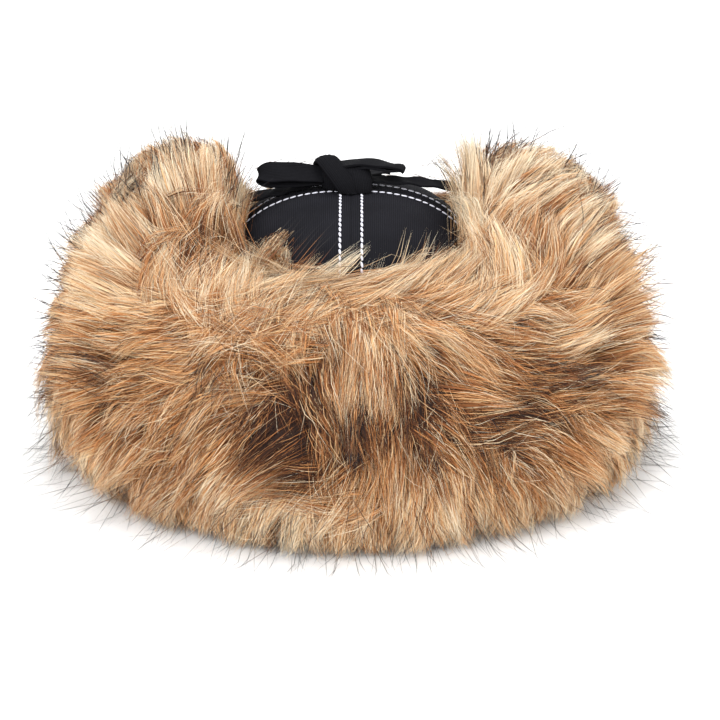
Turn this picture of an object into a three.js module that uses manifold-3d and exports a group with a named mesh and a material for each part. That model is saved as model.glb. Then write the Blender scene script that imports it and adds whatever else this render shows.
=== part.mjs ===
// Earflap cap: a black twill crown of four panels, with a front flap, two ear flaps and a neck flap
// that are faced with deep fur, folded up against the crown, and tied over it in a ribbon bow.
// Millimetres, +Z up. The origin is the middle of the footprint on the surface the cap stands on.
// The front of the cap faces -Y, and +X is to the right for someone who looks at its front.

import * as THREE from "three";
import { mergeVertices } from "three/addons/utils/BufferGeometryUtils.js";
import Module from "manifold-3d";

// Driving dimensions of the crown, which fits a head of about 580 mm round
const HEAD_WIDTH = 168; // inside, ear to ear
const HEAD_LENGTH = 200; // inside, forehead to nape
const CROWN_WALL = 2.5; // twill with its interlining
const RIM_HEIGHT = 12; // the cloth rim stands this far up in the fur
const SIDE_HEIGHT = 60; // straight wall from the rim to the spring of the dome
const SIDE_TAPER = 0.925; // width at the spring of the dome, as a share of the width at the rim
const DOME_RISE = 83; // from the spring to the top of the crown, outside
const DOME_POWER = 2.5; // 2 would be an ellipse, and more is flatter on top with fuller shoulders
const SEAM_GAP = 0.3; // between two panels

// Flaps
const FLAP_CLEARANCE = 0.8; // between the crown and a folded flap
const LEAVE_HEIGHT = 108; // above this a tall flap no longer follows the crown and stands straight on
const FLAP_CLOTH = 2; // twill and the knitted backing of the fur
const FUR_CLEARANCE = 0.4; // between the cloth and the fur's solid
const FLAP_SPLIT = 52.5; // azimuth where the front flap ends and an ear flap begins
const NECK_SPLIT = 127.5; // azimuth where an ear flap ends and the neck flap begins
const SPLIT_GAP = 0.2; // degrees left clear on each side of a split
const SECTION_STEP = 7.5; // degrees between two sections of a flap
const FOOT_SHARE = 0.66; // width of the pile's flat foot, as a share of its belly

// Ribbon of the ties and the bow
const RIBBON_WIDTH = 13;
const RIBBON_THICKNESS = 1.1;
const RIBBON_LIFT = 0.5; // ribbon that lies on the crown
const KNOT_GAP = 0.35; // between the knot and each ribbon end that enters it

const TWILL = { color: 0x17171b, roughness: 0.82, metalness: 0 };
const RIBBON = { color: 0x121215, roughness: 0.7, metalness: 0 };
const FUR = { color: 0xb98a57, roughness: 0.75, metalness: 0 };

const wasm = await Module();
wasm.setup();

const radians = THREE.MathUtils.degToRad;
const lerp = THREE.MathUtils.lerp;

// Outer rim of the crown: half its width and half its length
const HALF_WIDTH = HEAD_WIDTH / 2 + CROWN_WALL;
const HALF_LENGTH = HEAD_LENGTH / 2 + CROWN_WALL;
const SPRING_HEIGHT = RIM_HEIGHT + SIDE_HEIGHT;
const TOP_HEIGHT = SPRING_HEIGHT + DOME_RISE;

// Point of the crown's rim at an azimuth in degrees, 0 at the front and 90 at +X, and its outward normal.
function rim(azimuth) {
  const a = radians(azimuth);
  const normal = new THREE.Vector2(HALF_LENGTH * Math.sin(a), -HALF_WIDTH * Math.cos(a)).normalize();
  return { x: HALF_WIDTH * Math.sin(a), y: -HALF_LENGTH * Math.cos(a), nx: normal.x, ny: normal.y };
}

// The crown's outline in section at a height: its share of the rim, and the normal's two parts.
function crownSection(height) {
  if (height <= SPRING_HEIGHT) {
    return { share: lerp(1, SIDE_TAPER, (height - RIM_HEIGHT) / SIDE_HEIGHT), outward: 1, upward: 0 };
  }
  const rise = (height - SPRING_HEIGHT) / DOME_RISE;
  const share = (1 - rise ** DOME_POWER) ** (1 / DOME_POWER);
  const outward = share ** (DOME_POWER - 1) / (SIDE_TAPER * HALF_WIDTH);
  const upward = rise ** (DOME_POWER - 1) / DOME_RISE;
  const length = Math.hypot(outward, upward);
  return { share: SIDE_TAPER * share, outward: outward / length, upward: upward / length };
}

// Point at a horizontal distance outside the rim, at a height.
function outside(azimuth, out, height) {
  const r = rim(azimuth);
  return new THREE.Vector3(r.x + out * r.nx, r.y + out * r.ny, height);
}

// Point on the crown at a height, lifted off it by an offset.
function onCrown(azimuth, height, lift) {
  const r = rim(azimuth);
  const { share, outward, upward } = crownSection(height);
  return new THREE.Vector3(
    share * r.x + lift * outward * r.nx,
    share * r.y + lift * outward * r.ny,
    height + lift * upward,
  );
}

// Point on a folded-up flap: it lies on the crown up to the height where it leaves it and stands straight on.
function onFlap(azimuth, height, lift) {
  if (height <= LEAVE_HEIGHT) return onCrown(azimuth, height, lift);
  const foot = onCrown(azimuth, LEAVE_HEIGHT, lift);
  const slope = foot.clone().sub(onCrown(azimuth, LEAVE_HEIGHT - 1, lift));
  return foot.addScaledVector(slope, (height - LEAVE_HEIGHT) / slope.z);
}

// Height of the crown's dome over a point in plan, for a shell lifted off it by an offset.
function domeHeight(x, y, lift) {
  const u = x / (SIDE_TAPER * HALF_WIDTH + lift);
  const v = y / (SIDE_TAPER * HALF_LENGTH + lift);
  const share = Math.min(1, Math.hypot(u, v));
  return SPRING_HEIGHT + (DOME_RISE + lift) * (1 - share ** DOME_POWER) ** (1 / DOME_POWER);
}

// Closed geometry through a list of rings that all have the same number of points.
// Each patch between two rings is split along its shorter diagonal, so that two parallel surfaces split
// alike. Each end is filled by triangulating its outline, which the function given makes of its ring.
function loft(rings, outline) {
  const points = rings.flat();
  const count = rings[0].length;
  const index = [];
  for (let i = 0; i + 1 < rings.length; i++) {
    for (let j = 0; j < count; j++) {
      const a = i * count + j;
      const b = i * count + ((j + 1) % count);
      const [c, d] = [a + count, b + count];
      if (points[b].distanceTo(points[c]) < points[a].distanceTo(points[d])) index.push(a, b, c, b, d, c);
      else index.push(a, b, d, a, d, c);
    }
  }
  const last = (rings.length - 1) * count;
  for (const [a, b, c] of endFaces(outline(rings[0]))) index.push(a, c, b);
  for (const [a, b, c] of endFaces(outline(rings.at(-1)))) index.push(last + a, last + b, last + c);
  const geometry = new THREE.BufferGeometry().setFromPoints(points);
  geometry.setIndex(index);
  return facingOut(geometry);
}

// Triangles that fill an outline, turned the way that the outline runs.
function endFaces(outline) {
  const faces = THREE.ShapeUtils.triangulateShape(outline, []);
  return THREE.ShapeUtils.isClockWise(outline) ? faces.map(([a, b, c]) => [a, c, b]) : faces;
}

// Signed volume inside an indexed geometry, negative when its faces point inwards.
function signedVolume(geometry) {
  const p = geometry.getAttribute("position");
  const index = geometry.index.array;
  const [a, b, c] = [new THREE.Vector3(), new THREE.Vector3(), new THREE.Vector3()];
  let sum = 0;
  for (let i = 0; i < index.length; i += 3) {
    a.fromBufferAttribute(p, index[i]);
    b.fromBufferAttribute(p, index[i + 1]);
    c.fromBufferAttribute(p, index[i + 2]);
    sum += a.dot(b.cross(c)) / 6;
  }
  return sum;
}

function facingOut(geometry) {
  if (signedVolume(geometry) < 0) {
    const index = geometry.index.array;
    for (let i = 0; i < index.length; i += 3) [index[i + 1], index[i + 2]] = [index[i + 2], index[i + 1]];
  }
  geometry.computeVertexNormals();
  return geometry;
}

// A three.js geometry as a manifold-3d solid, and back.
const WELD = 1e-4; // corners this near are one

function toSolid(geometry) {
  const bare = geometry.clone();
  bare.deleteAttribute("normal");
  bare.deleteAttribute("uv");
  const merged = facingOut(mergeVertices(bare, WELD));
  const mesh = new wasm.Mesh({
    numProp: 3,
    vertProperties: merged.getAttribute("position").array,
    triVerts: new Uint32Array(merged.index.array),
  });
  return new wasm.Manifold(mesh);
}

function toGeometry(solid) {
  const mesh = solid.getMesh();
  const geometry = new THREE.BufferGeometry();
  geometry.setAttribute("position", new THREE.BufferAttribute(mesh.vertProperties, 3));
  geometry.setIndex(new THREE.BufferAttribute(mesh.triVerts, 1));
  geometry.computeVertexNormals();
  return geometry;
}

const cap = new THREE.Group();

function add(name, geometry, look) {
  const mesh = new THREE.Mesh(geometry, new THREE.MeshStandardMaterial(look));
  mesh.name = name;
  cap.add(mesh);
}

// Crown
// One hollow dome, turned on its axis and stretched to the head's oval, then cut into four panels
// along the front-to-back seam and the ear-to-ear seam.
const CROWN_SIDES = 48;
const DOME_STEPS = 10;

// The crown's outside from the rim up to the axis, or its inside where a wall's thickness is taken off.
// Distances from the axis are shares of the rim's half width.
function crownProfile(wall) {
  const heights = [RIM_HEIGHT];
  for (let i = 0; i <= DOME_STEPS; i++) {
    heights.push(SPRING_HEIGHT + DOME_RISE * Math.sin(((Math.PI / 2) * i) / DOME_STEPS));
  }
  return heights.map((height) => {
    const { share, outward, upward } = crownSection(height);
    return new THREE.Vector2(share - (share ? (wall * outward) / HALF_WIDTH : 0), height - wall * upward);
  });
}

function crownShell() {
  const profile = [...crownProfile(CROWN_WALL).reverse(), ...crownProfile(0)];
  const shell = new THREE.LatheGeometry(profile, CROWN_SIDES);
  shell.rotateX(Math.PI / 2);
  shell.scale(HALF_WIDTH, HALF_LENGTH, 1);
  return toSolid(shell);
}

const SLAB = 400; // longer than the crown each way
const middleSeam = toSolid(new THREE.BoxGeometry(SEAM_GAP, SLAB, SLAB));
const crossSeam = toSolid(new THREE.BoxGeometry(SLAB, SEAM_GAP, SLAB));
for (const panel of crownShell().subtract(middleSeam.add(crossSeam)).decompose()) {
  const box = panel.boundingBox();
  const end = box.min[1] + box.max[1] < 0 ? "front" : "back";
  const side = box.min[0] + box.max[0] < 0 ? "left" : "right";
  add(`crown_${end}_${side}`, toGeometry(panel), TWILL);
}

// Flaps
// One row for each section, from the middle of the front to the middle of the back, the same on both sides:
// azimuth in degrees, height of the cloth's upper edge, height where the pile leaves the flap or the crown,
// how far the pile's belly stands out from the rim and its height, and the pile's crest, out and up.
const FLAP_SECTIONS = [
  { azimuth: 0, clothTop: 90, touch: 112, belly: 67, bellyHeight: 45, crestOut: -2, crest: 134 },
  { azimuth: 30, clothTop: 90, touch: 112, belly: 70, bellyHeight: 45, crestOut: -1, crest: 135 },
  { azimuth: 45, clothTop: 90, touch: 114, belly: 77, bellyHeight: 46, crestOut: 2, crest: 143 },
  { azimuth: 60, clothTop: 102, touch: 124, belly: 84, bellyHeight: 47, crestOut: 8, crest: 162 },
  { azimuth: 75, clothTop: 142, touch: 150, belly: 88, bellyHeight: 48, crestOut: 8, crest: 179 },
  { azimuth: 90, clothTop: 154, touch: 160, belly: 88, bellyHeight: 48, crestOut: 8, crest: 185 },
  { azimuth: 105, clothTop: 142, touch: 149, belly: 86, bellyHeight: 48, crestOut: 8, crest: 179 },
  { azimuth: 120, clothTop: 104, touch: 120, belly: 80, bellyHeight: 47, crestOut: 8, crest: 156 },
  { azimuth: 135, clothTop: 86, touch: 98, belly: 73, bellyHeight: 46, crestOut: 6, crest: 126 },
  { azimuth: 150, clothTop: 82, touch: 91, belly: 69, bellyHeight: 45, crestOut: 6, crest: 111 },
  { azimuth: 180, clothTop: 82, touch: 90, belly: 67, bellyHeight: 45, crestOut: 6, crest: 108 },
];

// The section at any azimuth, smoothly between the two rows beside it.
function flapSection(azimuth) {
  const a = Math.abs(THREE.MathUtils.euclideanModulo(azimuth + 180, 360) - 180);
  const i = Math.max(1, FLAP_SECTIONS.findIndex((row) => row.azimuth >= a));
  const [low, high] = [FLAP_SECTIONS[i - 1], FLAP_SECTIONS[i]];
  const t = (a - low.azimuth) / (high.azimuth - low.azimuth);
  const mixed = {};
  for (const key of Object.keys(low)) mixed[key] = lerp(low[key], high[key], t);
  return mixed;
}

// Azimuths of a flap's sections, evenly spaced between its two edges.
function azimuths(from, to) {
  const steps = Math.round((to - from) / SECTION_STEP);
  return Array.from({ length: steps + 1 }, (_, i) => lerp(from, to, i / steps));
}

// Cloth: a strip that follows the crown from its rim to the flap's folded-up edge.
const CLOTH_STEPS = 4;

function clothHeights(top) {
  const heights = [RIM_HEIGHT, SPRING_HEIGHT];
  for (let i = 1; i <= CLOTH_STEPS; i++) heights.push(lerp(SPRING_HEIGHT, top, i / CLOTH_STEPS));
  return heights;
}

function clothRing(azimuth) {
  const heights = clothHeights(flapSection(azimuth).clothTop);
  const inner = heights.map((height) => onFlap(azimuth, height, FLAP_CLEARANCE));
  const outer = heights.map((height) => onFlap(azimuth, height, FLAP_CLEARANCE + FLAP_CLOTH));
  return [...inner, ...outer.reverse()];
}

// Fur: the outer form of the pile. It stands flat on the ground, swells to its belly, rises to its crest
// and comes down on the flap, or on the crown above the flap's edge.
const FOOT_STEPS = 3;
const BELLY_STEPS = 7;
const BROW_STEPS = 3;
const BROW_POWER = 3; // how squarely the crest turns down towards the crown

function furRing(azimuth) {
  const { clothTop, touch, belly, bellyHeight, crestOut, crest } = flapSection(azimuth);
  const lift = FLAP_CLEARANCE + FLAP_CLOTH + FUR_CLEARANCE;
  const seat = onFlap(azimuth, touch, lift);
  const ring = [outside(azimuth, lift, 0)];
  for (const height of clothHeights(clothTop)) ring.push(onFlap(azimuth, height, lift));
  for (let i = 0; i < BROW_STEPS; i++) {
    const rise = Math.sin(((Math.PI / 2) * i) / BROW_STEPS);
    const inward = (1 - rise ** BROW_POWER) ** (1 / BROW_POWER);
    const top = outside(azimuth, crestOut, lerp(touch, crest, rise));
    ring.push(top.lerp(new THREE.Vector3(seat.x, seat.y, top.z), inward));
  }
  for (let i = 0; i < BELLY_STEPS; i++) {
    const a = ((Math.PI / 2) * i) / BELLY_STEPS;
    ring.push(outside(azimuth, lerp(crestOut, belly, Math.sin(a)), lerp(bellyHeight, crest, Math.cos(a))));
  }
  for (let i = 0; i <= FOOT_STEPS; i++) {
    const a = ((Math.PI / 2) * i) / FOOT_STEPS;
    const out = lerp(FOOT_SHARE * belly, belly, Math.cos(a));
    ring.push(outside(azimuth, out, bellyHeight * (1 - Math.sin(a))));
  }
  return ring;
}

// A section's outline in its own plane: distance from the axis, and height.
function upright(ring) {
  return ring.map((p) => new THREE.Vector2(Math.hypot(p.x, p.y), p.z));
}

function flap(name, from, to) {
  const spread = azimuths(from + SPLIT_GAP, to - SPLIT_GAP);
  add(`${name}_cloth`, loft(spread.map(clothRing), upright), TWILL);
  add(`${name}_fur`, loft(spread.map(furRing), upright), FUR);
}

flap("front_flap", -FLAP_SPLIT, FLAP_SPLIT);
flap("ear_flap_right", FLAP_SPLIT, NECK_SPLIT);
flap("neck_flap", NECK_SPLIT, 360 - NECK_SPLIT);
flap("ear_flap_left", -NECK_SPLIT, -FLAP_SPLIT);

// Bow
// The knot is one lump on the crossing of the seams, tall on the left, with a lower wrap on the right that
// the right loop passes over. One row for each section along X: half its depth, and its height above
// the crown.
const KNOT_LEFT = -21;
const KNOT_STEP = -3.2; // where the tall part drops to the lower wrap
const KNOT_RIGHT = 10;
const KNOT_MIDDLE = 1; // its middle in depth
const KNOT_SIDES = 10;
const KNOT_SECTIONS = [
  { x: KNOT_LEFT, halfDepth: 6.5, height: 12 },
  { x: -17, halfDepth: 8, height: 16 },
  { x: -12, halfDepth: 8.5, height: 18.5 },
  { x: -5, halfDepth: 8.5, height: 17 },
  { x: KNOT_STEP - 0.3, halfDepth: 8.5, height: 15.5 },
  { x: KNOT_STEP, halfDepth: 8, height: 7.2 },
  { x: 4, halfDepth: 8, height: 7 },
  { x: KNOT_RIGHT, halfDepth: 6.5, height: 5.5 },
];

// Underside that follows the crown, with an arch over it.
function knotRing({ x, halfDepth, height }) {
  const ring = [new THREE.Vector3(x, KNOT_MIDDLE, domeHeight(x, KNOT_MIDDLE, RIBBON_LIFT))];
  for (let i = 0; i <= KNOT_SIDES; i++) {
    const a = (Math.PI * i) / KNOT_SIDES;
    const y = KNOT_MIDDLE - halfDepth * Math.cos(a);
    ring.push(new THREE.Vector3(x, y, domeHeight(x, y, RIBBON_LIFT) + height * Math.sqrt(Math.sin(a))));
  }
  return ring;
}

const sideways = (ring) => ring.map((p) => new THREE.Vector2(p.y, p.z));
add("bow_knot", loft(KNOT_SECTIONS.map(knotRing), sideways), RIBBON);

// A ribbon's section has three points on each face: this is its outline, whichever way the ribbon lies.
const RIBBON_END = [-1, 0, 1, 1, 0, -1].map((side, i) => new THREE.Vector2(side, i < 3 ? 0 : 1));
const ribbonEnd = () => RIBBON_END;

// A ribbon in the air, through rows of points: x and y in plan, z over the crown's top, and lean,
// the angle in degrees by which its front edge is tipped down.
const RIBBON_STEPS = 20;

function airRibbon(rows, width) {
  const points = rows.map(({ x, y, z }) => new THREE.Vector3(x, y, TOP_HEIGHT + z));
  const middle = new THREE.CatmullRomCurve3(points);
  const rings = [];
  for (let i = 0; i <= RIBBON_STEPS; i++) {
    const t = i / RIBBON_STEPS;
    const row = t * (rows.length - 1);
    const low = Math.min(Math.floor(row), rows.length - 2);
    const lean = radians(lerp(rows[low].lean, rows[low + 1].lean, row - low));
    const across = new THREE.Vector3(0, -Math.cos(lean), -Math.sin(lean));
    const through = new THREE.Vector3().crossVectors(middle.getTangent(t), across).normalize();
    const at = (side, layer) =>
      middle
        .getPoint(t)
        .addScaledVector(across, (side * width) / 2)
        .addScaledVector(through, (layer * RIBBON_THICKNESS) / 2);
    rings.push([at(-1, -1), at(0, -1), at(1, -1), at(1, 1), at(0, 1), at(-1, 1)]);
  }
  return loft(rings, ribbonEnd);
}

// Where a ribbon enters the knot: at its left, over its lower wrap, and at its right
const ENTRY_LEFT = KNOT_LEFT - KNOT_GAP;
const ENTRY_STEP = KNOT_STEP + KNOT_GAP;
const ENTRY_RIGHT = KNOT_RIGHT + KNOT_GAP;

// Each loop leaves the knot, turns at its tip and comes back beneath itself.
const LOOPS = {
  bow_loop_left: [
    { x: ENTRY_LEFT, y: -1, z: 8.6, lean: 40 },
    { x: ENTRY_LEFT - 10, y: -1.6, z: 9.6, lean: 42 },
    { x: ENTRY_LEFT - 20, y: -2.2, z: 9.8, lean: 42 },
    { x: ENTRY_LEFT - 28, y: -2.2, z: 9.2, lean: 40 },
    { x: ENTRY_LEFT - 30.5, y: -1, z: 7.6, lean: 40 },
    { x: ENTRY_LEFT - 28, y: 0.4, z: 6, lean: 40 },
    { x: ENTRY_LEFT - 20, y: 0.8, z: 5.6, lean: 40 },
    { x: ENTRY_LEFT - 10, y: 1, z: 5.8, lean: 38 },
    { x: ENTRY_LEFT, y: 1, z: 5.8, lean: 36 },
  ],
  bow_loop_right: [
    { x: ENTRY_STEP, y: 1, z: 14.2, lean: -6 },
    { x: ENTRY_STEP + 8, y: 2, z: 15.4, lean: -6 },
    { x: ENTRY_STEP + 17, y: 3, z: 14.4, lean: -6 },
    { x: ENTRY_STEP + 28, y: 4, z: 11.4, lean: -8 },
    { x: ENTRY_STEP + 32.5, y: 4, z: 9, lean: -10 },
    { x: ENTRY_STEP + 28, y: 4, z: 7.4, lean: -12 },
    { x: ENTRY_STEP + 18, y: 3, z: 8.4, lean: -12 },
    { x: ENTRY_STEP + 8, y: 2, z: 9.8, lean: -10 },
    { x: ENTRY_STEP, y: 1, z: 10.6, lean: -8 },
  ],
};
for (const [name, rows] of Object.entries(LOOPS)) add(name, airRibbon(rows, RIBBON_WIDTH), RIBBON);

// Each tie is pulled tight from the tip of its ear flap to the knot.
const TIE_WIDTH = 10; // drawn together by the knot
const TIES = {
  tie_left: [
    { x: -64.4, y: 6, z: -10, lean: 8 },
    { x: -52, y: 6, z: -6.4, lean: 8 },
    { x: -38, y: 5, z: -2.4, lean: 6 },
    { x: -28, y: 4, z: 0.6, lean: 4 },
    { x: ENTRY_LEFT, y: 4, z: 2, lean: 0 },
  ],
  tie_right: [
    { x: 62.1, y: 7, z: -3, lean: 8 },
    { x: 46, y: 6, z: 0, lean: 8 },
    { x: 32, y: 5, z: 1.8, lean: 6 },
    { x: 20, y: 4, z: 2.8, lean: 4 },
    { x: ENTRY_RIGHT, y: 4, z: 3.2, lean: 0 },
  ],
};
for (const [name, rows] of Object.entries(TIES)) add(name, airRibbon(rows, TIE_WIDTH), RIBBON);

// Each free end comes out behind the knot and lies back over the crown, along a route in plan.
const ROUTE_STEPS = 12;
const END_START = 10.6;
const END_ROUTES = {
  bow_end_left: [
    { x: -11, y: END_START },
    { x: -12, y: 24 },
    { x: -21, y: 46 },
  ],
  bow_end_right: [
    { x: 4, y: END_START },
    { x: 6, y: 23 },
    { x: 17, y: 42 },
  ],
};

function lyingRibbon(route, width) {
  const curve = new THREE.CatmullRomCurve3(route.map(({ x, y }) => new THREE.Vector3(x, y, 0)));
  const rings = [];
  for (let i = 0; i <= ROUTE_STEPS; i++) {
    const middle = curve.getPointAt(i / ROUTE_STEPS);
    const ahead = curve.getTangentAt(i / ROUTE_STEPS);
    const at = (side, lift) => {
      const x = middle.x - (side * ahead.y * width) / 2;
      const y = middle.y + (side * ahead.x * width) / 2;
      return new THREE.Vector3(x, y, domeHeight(x, y, RIBBON_LIFT + lift));
    };
    const under = [-1, 0, 1].map((side) => at(side, 0));
    const over = [1, 0, -1].map((side) => at(side, RIBBON_THICKNESS));
    rings.push([...under, ...over]);
  }
  return loft(rings, ribbonEnd);
}

for (const [name, route] of Object.entries(END_ROUTES)) add(name, lyingRibbon(route, RIBBON_WIDTH), RIBBON);

export default cap;
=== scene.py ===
"""Earflap cap: a black twill crown with four folded-up flaps of deep fur, tied over the crown in a bow.

Metres, +Z up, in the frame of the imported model: the front of the cap faces -Y, and +X is to the right.
"""

import logging
import math
from dataclasses import dataclass, field
from enum import Enum
from functools import cached_property
from typing import Callable, ClassVar, Optional, Sequence, Union

import bpy
import numpy as np
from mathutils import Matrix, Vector


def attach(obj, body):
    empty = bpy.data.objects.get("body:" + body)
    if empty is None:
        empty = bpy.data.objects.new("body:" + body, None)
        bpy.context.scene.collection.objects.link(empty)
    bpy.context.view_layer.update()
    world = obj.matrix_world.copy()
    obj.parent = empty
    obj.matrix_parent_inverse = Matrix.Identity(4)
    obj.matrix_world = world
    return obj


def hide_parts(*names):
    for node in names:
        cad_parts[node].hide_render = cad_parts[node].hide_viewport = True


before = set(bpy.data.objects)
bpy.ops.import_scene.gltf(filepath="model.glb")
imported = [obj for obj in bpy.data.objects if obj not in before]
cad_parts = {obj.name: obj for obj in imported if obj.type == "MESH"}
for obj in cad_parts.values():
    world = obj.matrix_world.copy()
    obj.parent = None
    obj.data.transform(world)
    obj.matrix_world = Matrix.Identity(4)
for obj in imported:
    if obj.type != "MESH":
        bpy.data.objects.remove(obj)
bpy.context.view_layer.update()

LOG = logging.getLogger("earflap_cap")
BODY = "root"
MM = 0.001

Piece = bpy.types.Object
Points = np.ndarray
Colour = tuple[float, float, float]
Place = tuple[float, float, float]
Socket = Union[bpy.types.NodeSocket, float, Colour]


# Shared modelling steps


def deselect() -> None:
    """Let go of everything, so that an operator acts on what is new alone."""
    bpy.ops.object.select_all(action="DESELECT")


def pick(piece: Piece) -> None:
    """Select one object alone and make it active."""
    deselect()
    piece.select_set(True)
    bpy.context.view_layer.objects.active = piece


def edit(piece: Piece) -> None:
    """Open one object in edit mode with everything on it selected."""
    pick(piece)
    bpy.ops.object.mode_set(mode="EDIT")
    bpy.ops.mesh.select_all(action="SELECT")


def leave_edit() -> None:
    """Go back to object mode."""
    bpy.ops.object.mode_set(mode="OBJECT")


def finish_with(piece: Piece, kind: str, **settings: object) -> None:
    """Add a modifier to a piece and apply it.

    Args:
        piece: The object to change.
        kind: Blender's type of the modifier.
        settings: The modifier's own settings.
    """
    pick(piece)
    modifier = piece.modifiers.new(kind.title(), kind)
    for key, value in settings.items():
        setattr(modifier, key, value)
    bpy.ops.object.modifier_apply(modifier=modifier.name)


def smooth(piece: Piece, angle: float = 50) -> None:
    """Shade a piece smoothly, apart from edges sharper than an angle in degrees."""
    pick(piece)
    bpy.ops.object.shade_smooth_by_angle(angle=math.radians(angle))


def make_cloth(
    piece: Piece, wall: float, edge: float = 0.5 * MM, offset: float = 0, angle: float = 50
) -> None:
    """Give a single layer of cloth its wall, round its edges and shade it smoothly.

    Args:
        piece: The layer.
        wall: Its thickness.
        edge: How far its edges are rounded.
        offset: 0 for a wall to both sides, -1 for a wall inwards.
        angle: The least angle in degrees of an edge that stays sharp.
    """
    finish_with(piece, "SOLIDIFY", thickness=wall, offset=offset, use_even_offset=True)
    finish_with(piece, "BEVEL", width=edge, segments=2, limit_method="ANGLE", angle_limit=math.radians(50))
    smooth(piece, angle)


def vertices_of(piece: Piece) -> Points:
    """Give a piece's vertices as an array of one row each."""
    flat = np.zeros(len(piece.data.vertices) * 3, np.float32)
    piece.data.vertices.foreach_get("co", flat)
    return flat.reshape(-1, 3).astype(float)


def move_vertices(piece: Piece, places: Points) -> None:
    """Put a piece's vertices in new places."""
    piece.data.vertices.foreach_set("co", places.astype(np.float32).ravel())
    piece.data.update()


def mesh_piece(name: str, places: Points, corners: np.ndarray, sizes: np.ndarray) -> Piece:
    """Make one mesh object from arrays.

    Args:
        name: The object's name.
        places: One row for each vertex.
        corners: The vertex of each face corner, face by face.
        sizes: The number of corners of each face.

    Returns:
        The new object, linked to the scene.
    """
    mesh = bpy.data.meshes.new(name)
    mesh.vertices.add(len(places))
    mesh.vertices.foreach_set("co", places.astype(np.float32).ravel())
    mesh.loops.add(len(corners))
    mesh.loops.foreach_set("vertex_index", corners.astype(np.int32))
    mesh.polygons.add(len(sizes))
    mesh.polygons.foreach_set("loop_start", np.concatenate([[0], np.cumsum(sizes)[:-1]]).astype(np.int32))
    mesh.polygons.foreach_set("use_smooth", np.ones(len(sizes), bool))
    mesh.update(calc_edges=True)
    piece = bpy.data.objects.new(name, mesh)
    bpy.context.scene.collection.objects.link(piece)
    return piece


def hand_over(piece: Piece, slot: str, finish: "Finish", *nodes: str) -> Piece:
    """Dress a finished piece, let it ride on the cap and let it stand for its CAD nodes.

    Args:
        piece: The finished piece.
        slot: Not used.
        finish: The finish that it gets.
        nodes: The CAD nodes that it stands for.

    Returns:
        The same piece.
    """
    piece.data.materials.clear()
    piece.data.materials.append(finish.material())
    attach(piece, BODY)
    if nodes:
        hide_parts(*nodes)
    triangles = sum(len(face.vertices) - 2 for face in piece.data.polygons)
    LOG.info("%s: %d triangles", piece.name, triangles)
    return piece


# Shared sums


def climb(values: Points, start: float, stretch: float) -> Points:
    """Go from 0 to 1 while values go over a stretch from a start."""
    return np.clip((values - start) / stretch, 0, 1)


def bell(away: Points, half: float) -> Points:
    """Fall off from 1 with the distance, by a half width."""
    return np.exp(-((away / half) ** 2))


def unit(rows: Points) -> Points:
    """Bring rows to a length of 1."""
    return rows / np.maximum(np.linalg.norm(rows, axis=-1, keepdims=True), 1e-9)


def scaled(rows: Points, amounts: Points) -> Points:
    """Scale rows by an amount each."""
    return rows * amounts[..., None]


def walk(line: Points) -> Points:
    """Give how far along a line each of its points is."""
    return np.concatenate([[0], np.cumsum(np.linalg.norm(np.diff(line, axis=0), axis=1))])


def read(at: Points, marks: Points, rows: Points) -> Points:
    """Read rows of numbers at places between their marks."""
    return np.stack([np.interp(at, marks, column) for column in rows.T], -1)


@dataclass(frozen=True)
class Course:
    """A measure that goes through given values at given places."""

    places: tuple[float, ...]
    values: tuple[float, ...]

    def at(self, places: Points) -> Points:
        """Read the measure at places."""
        return np.interp(places, self.places, self.values)


# Finishes


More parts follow.
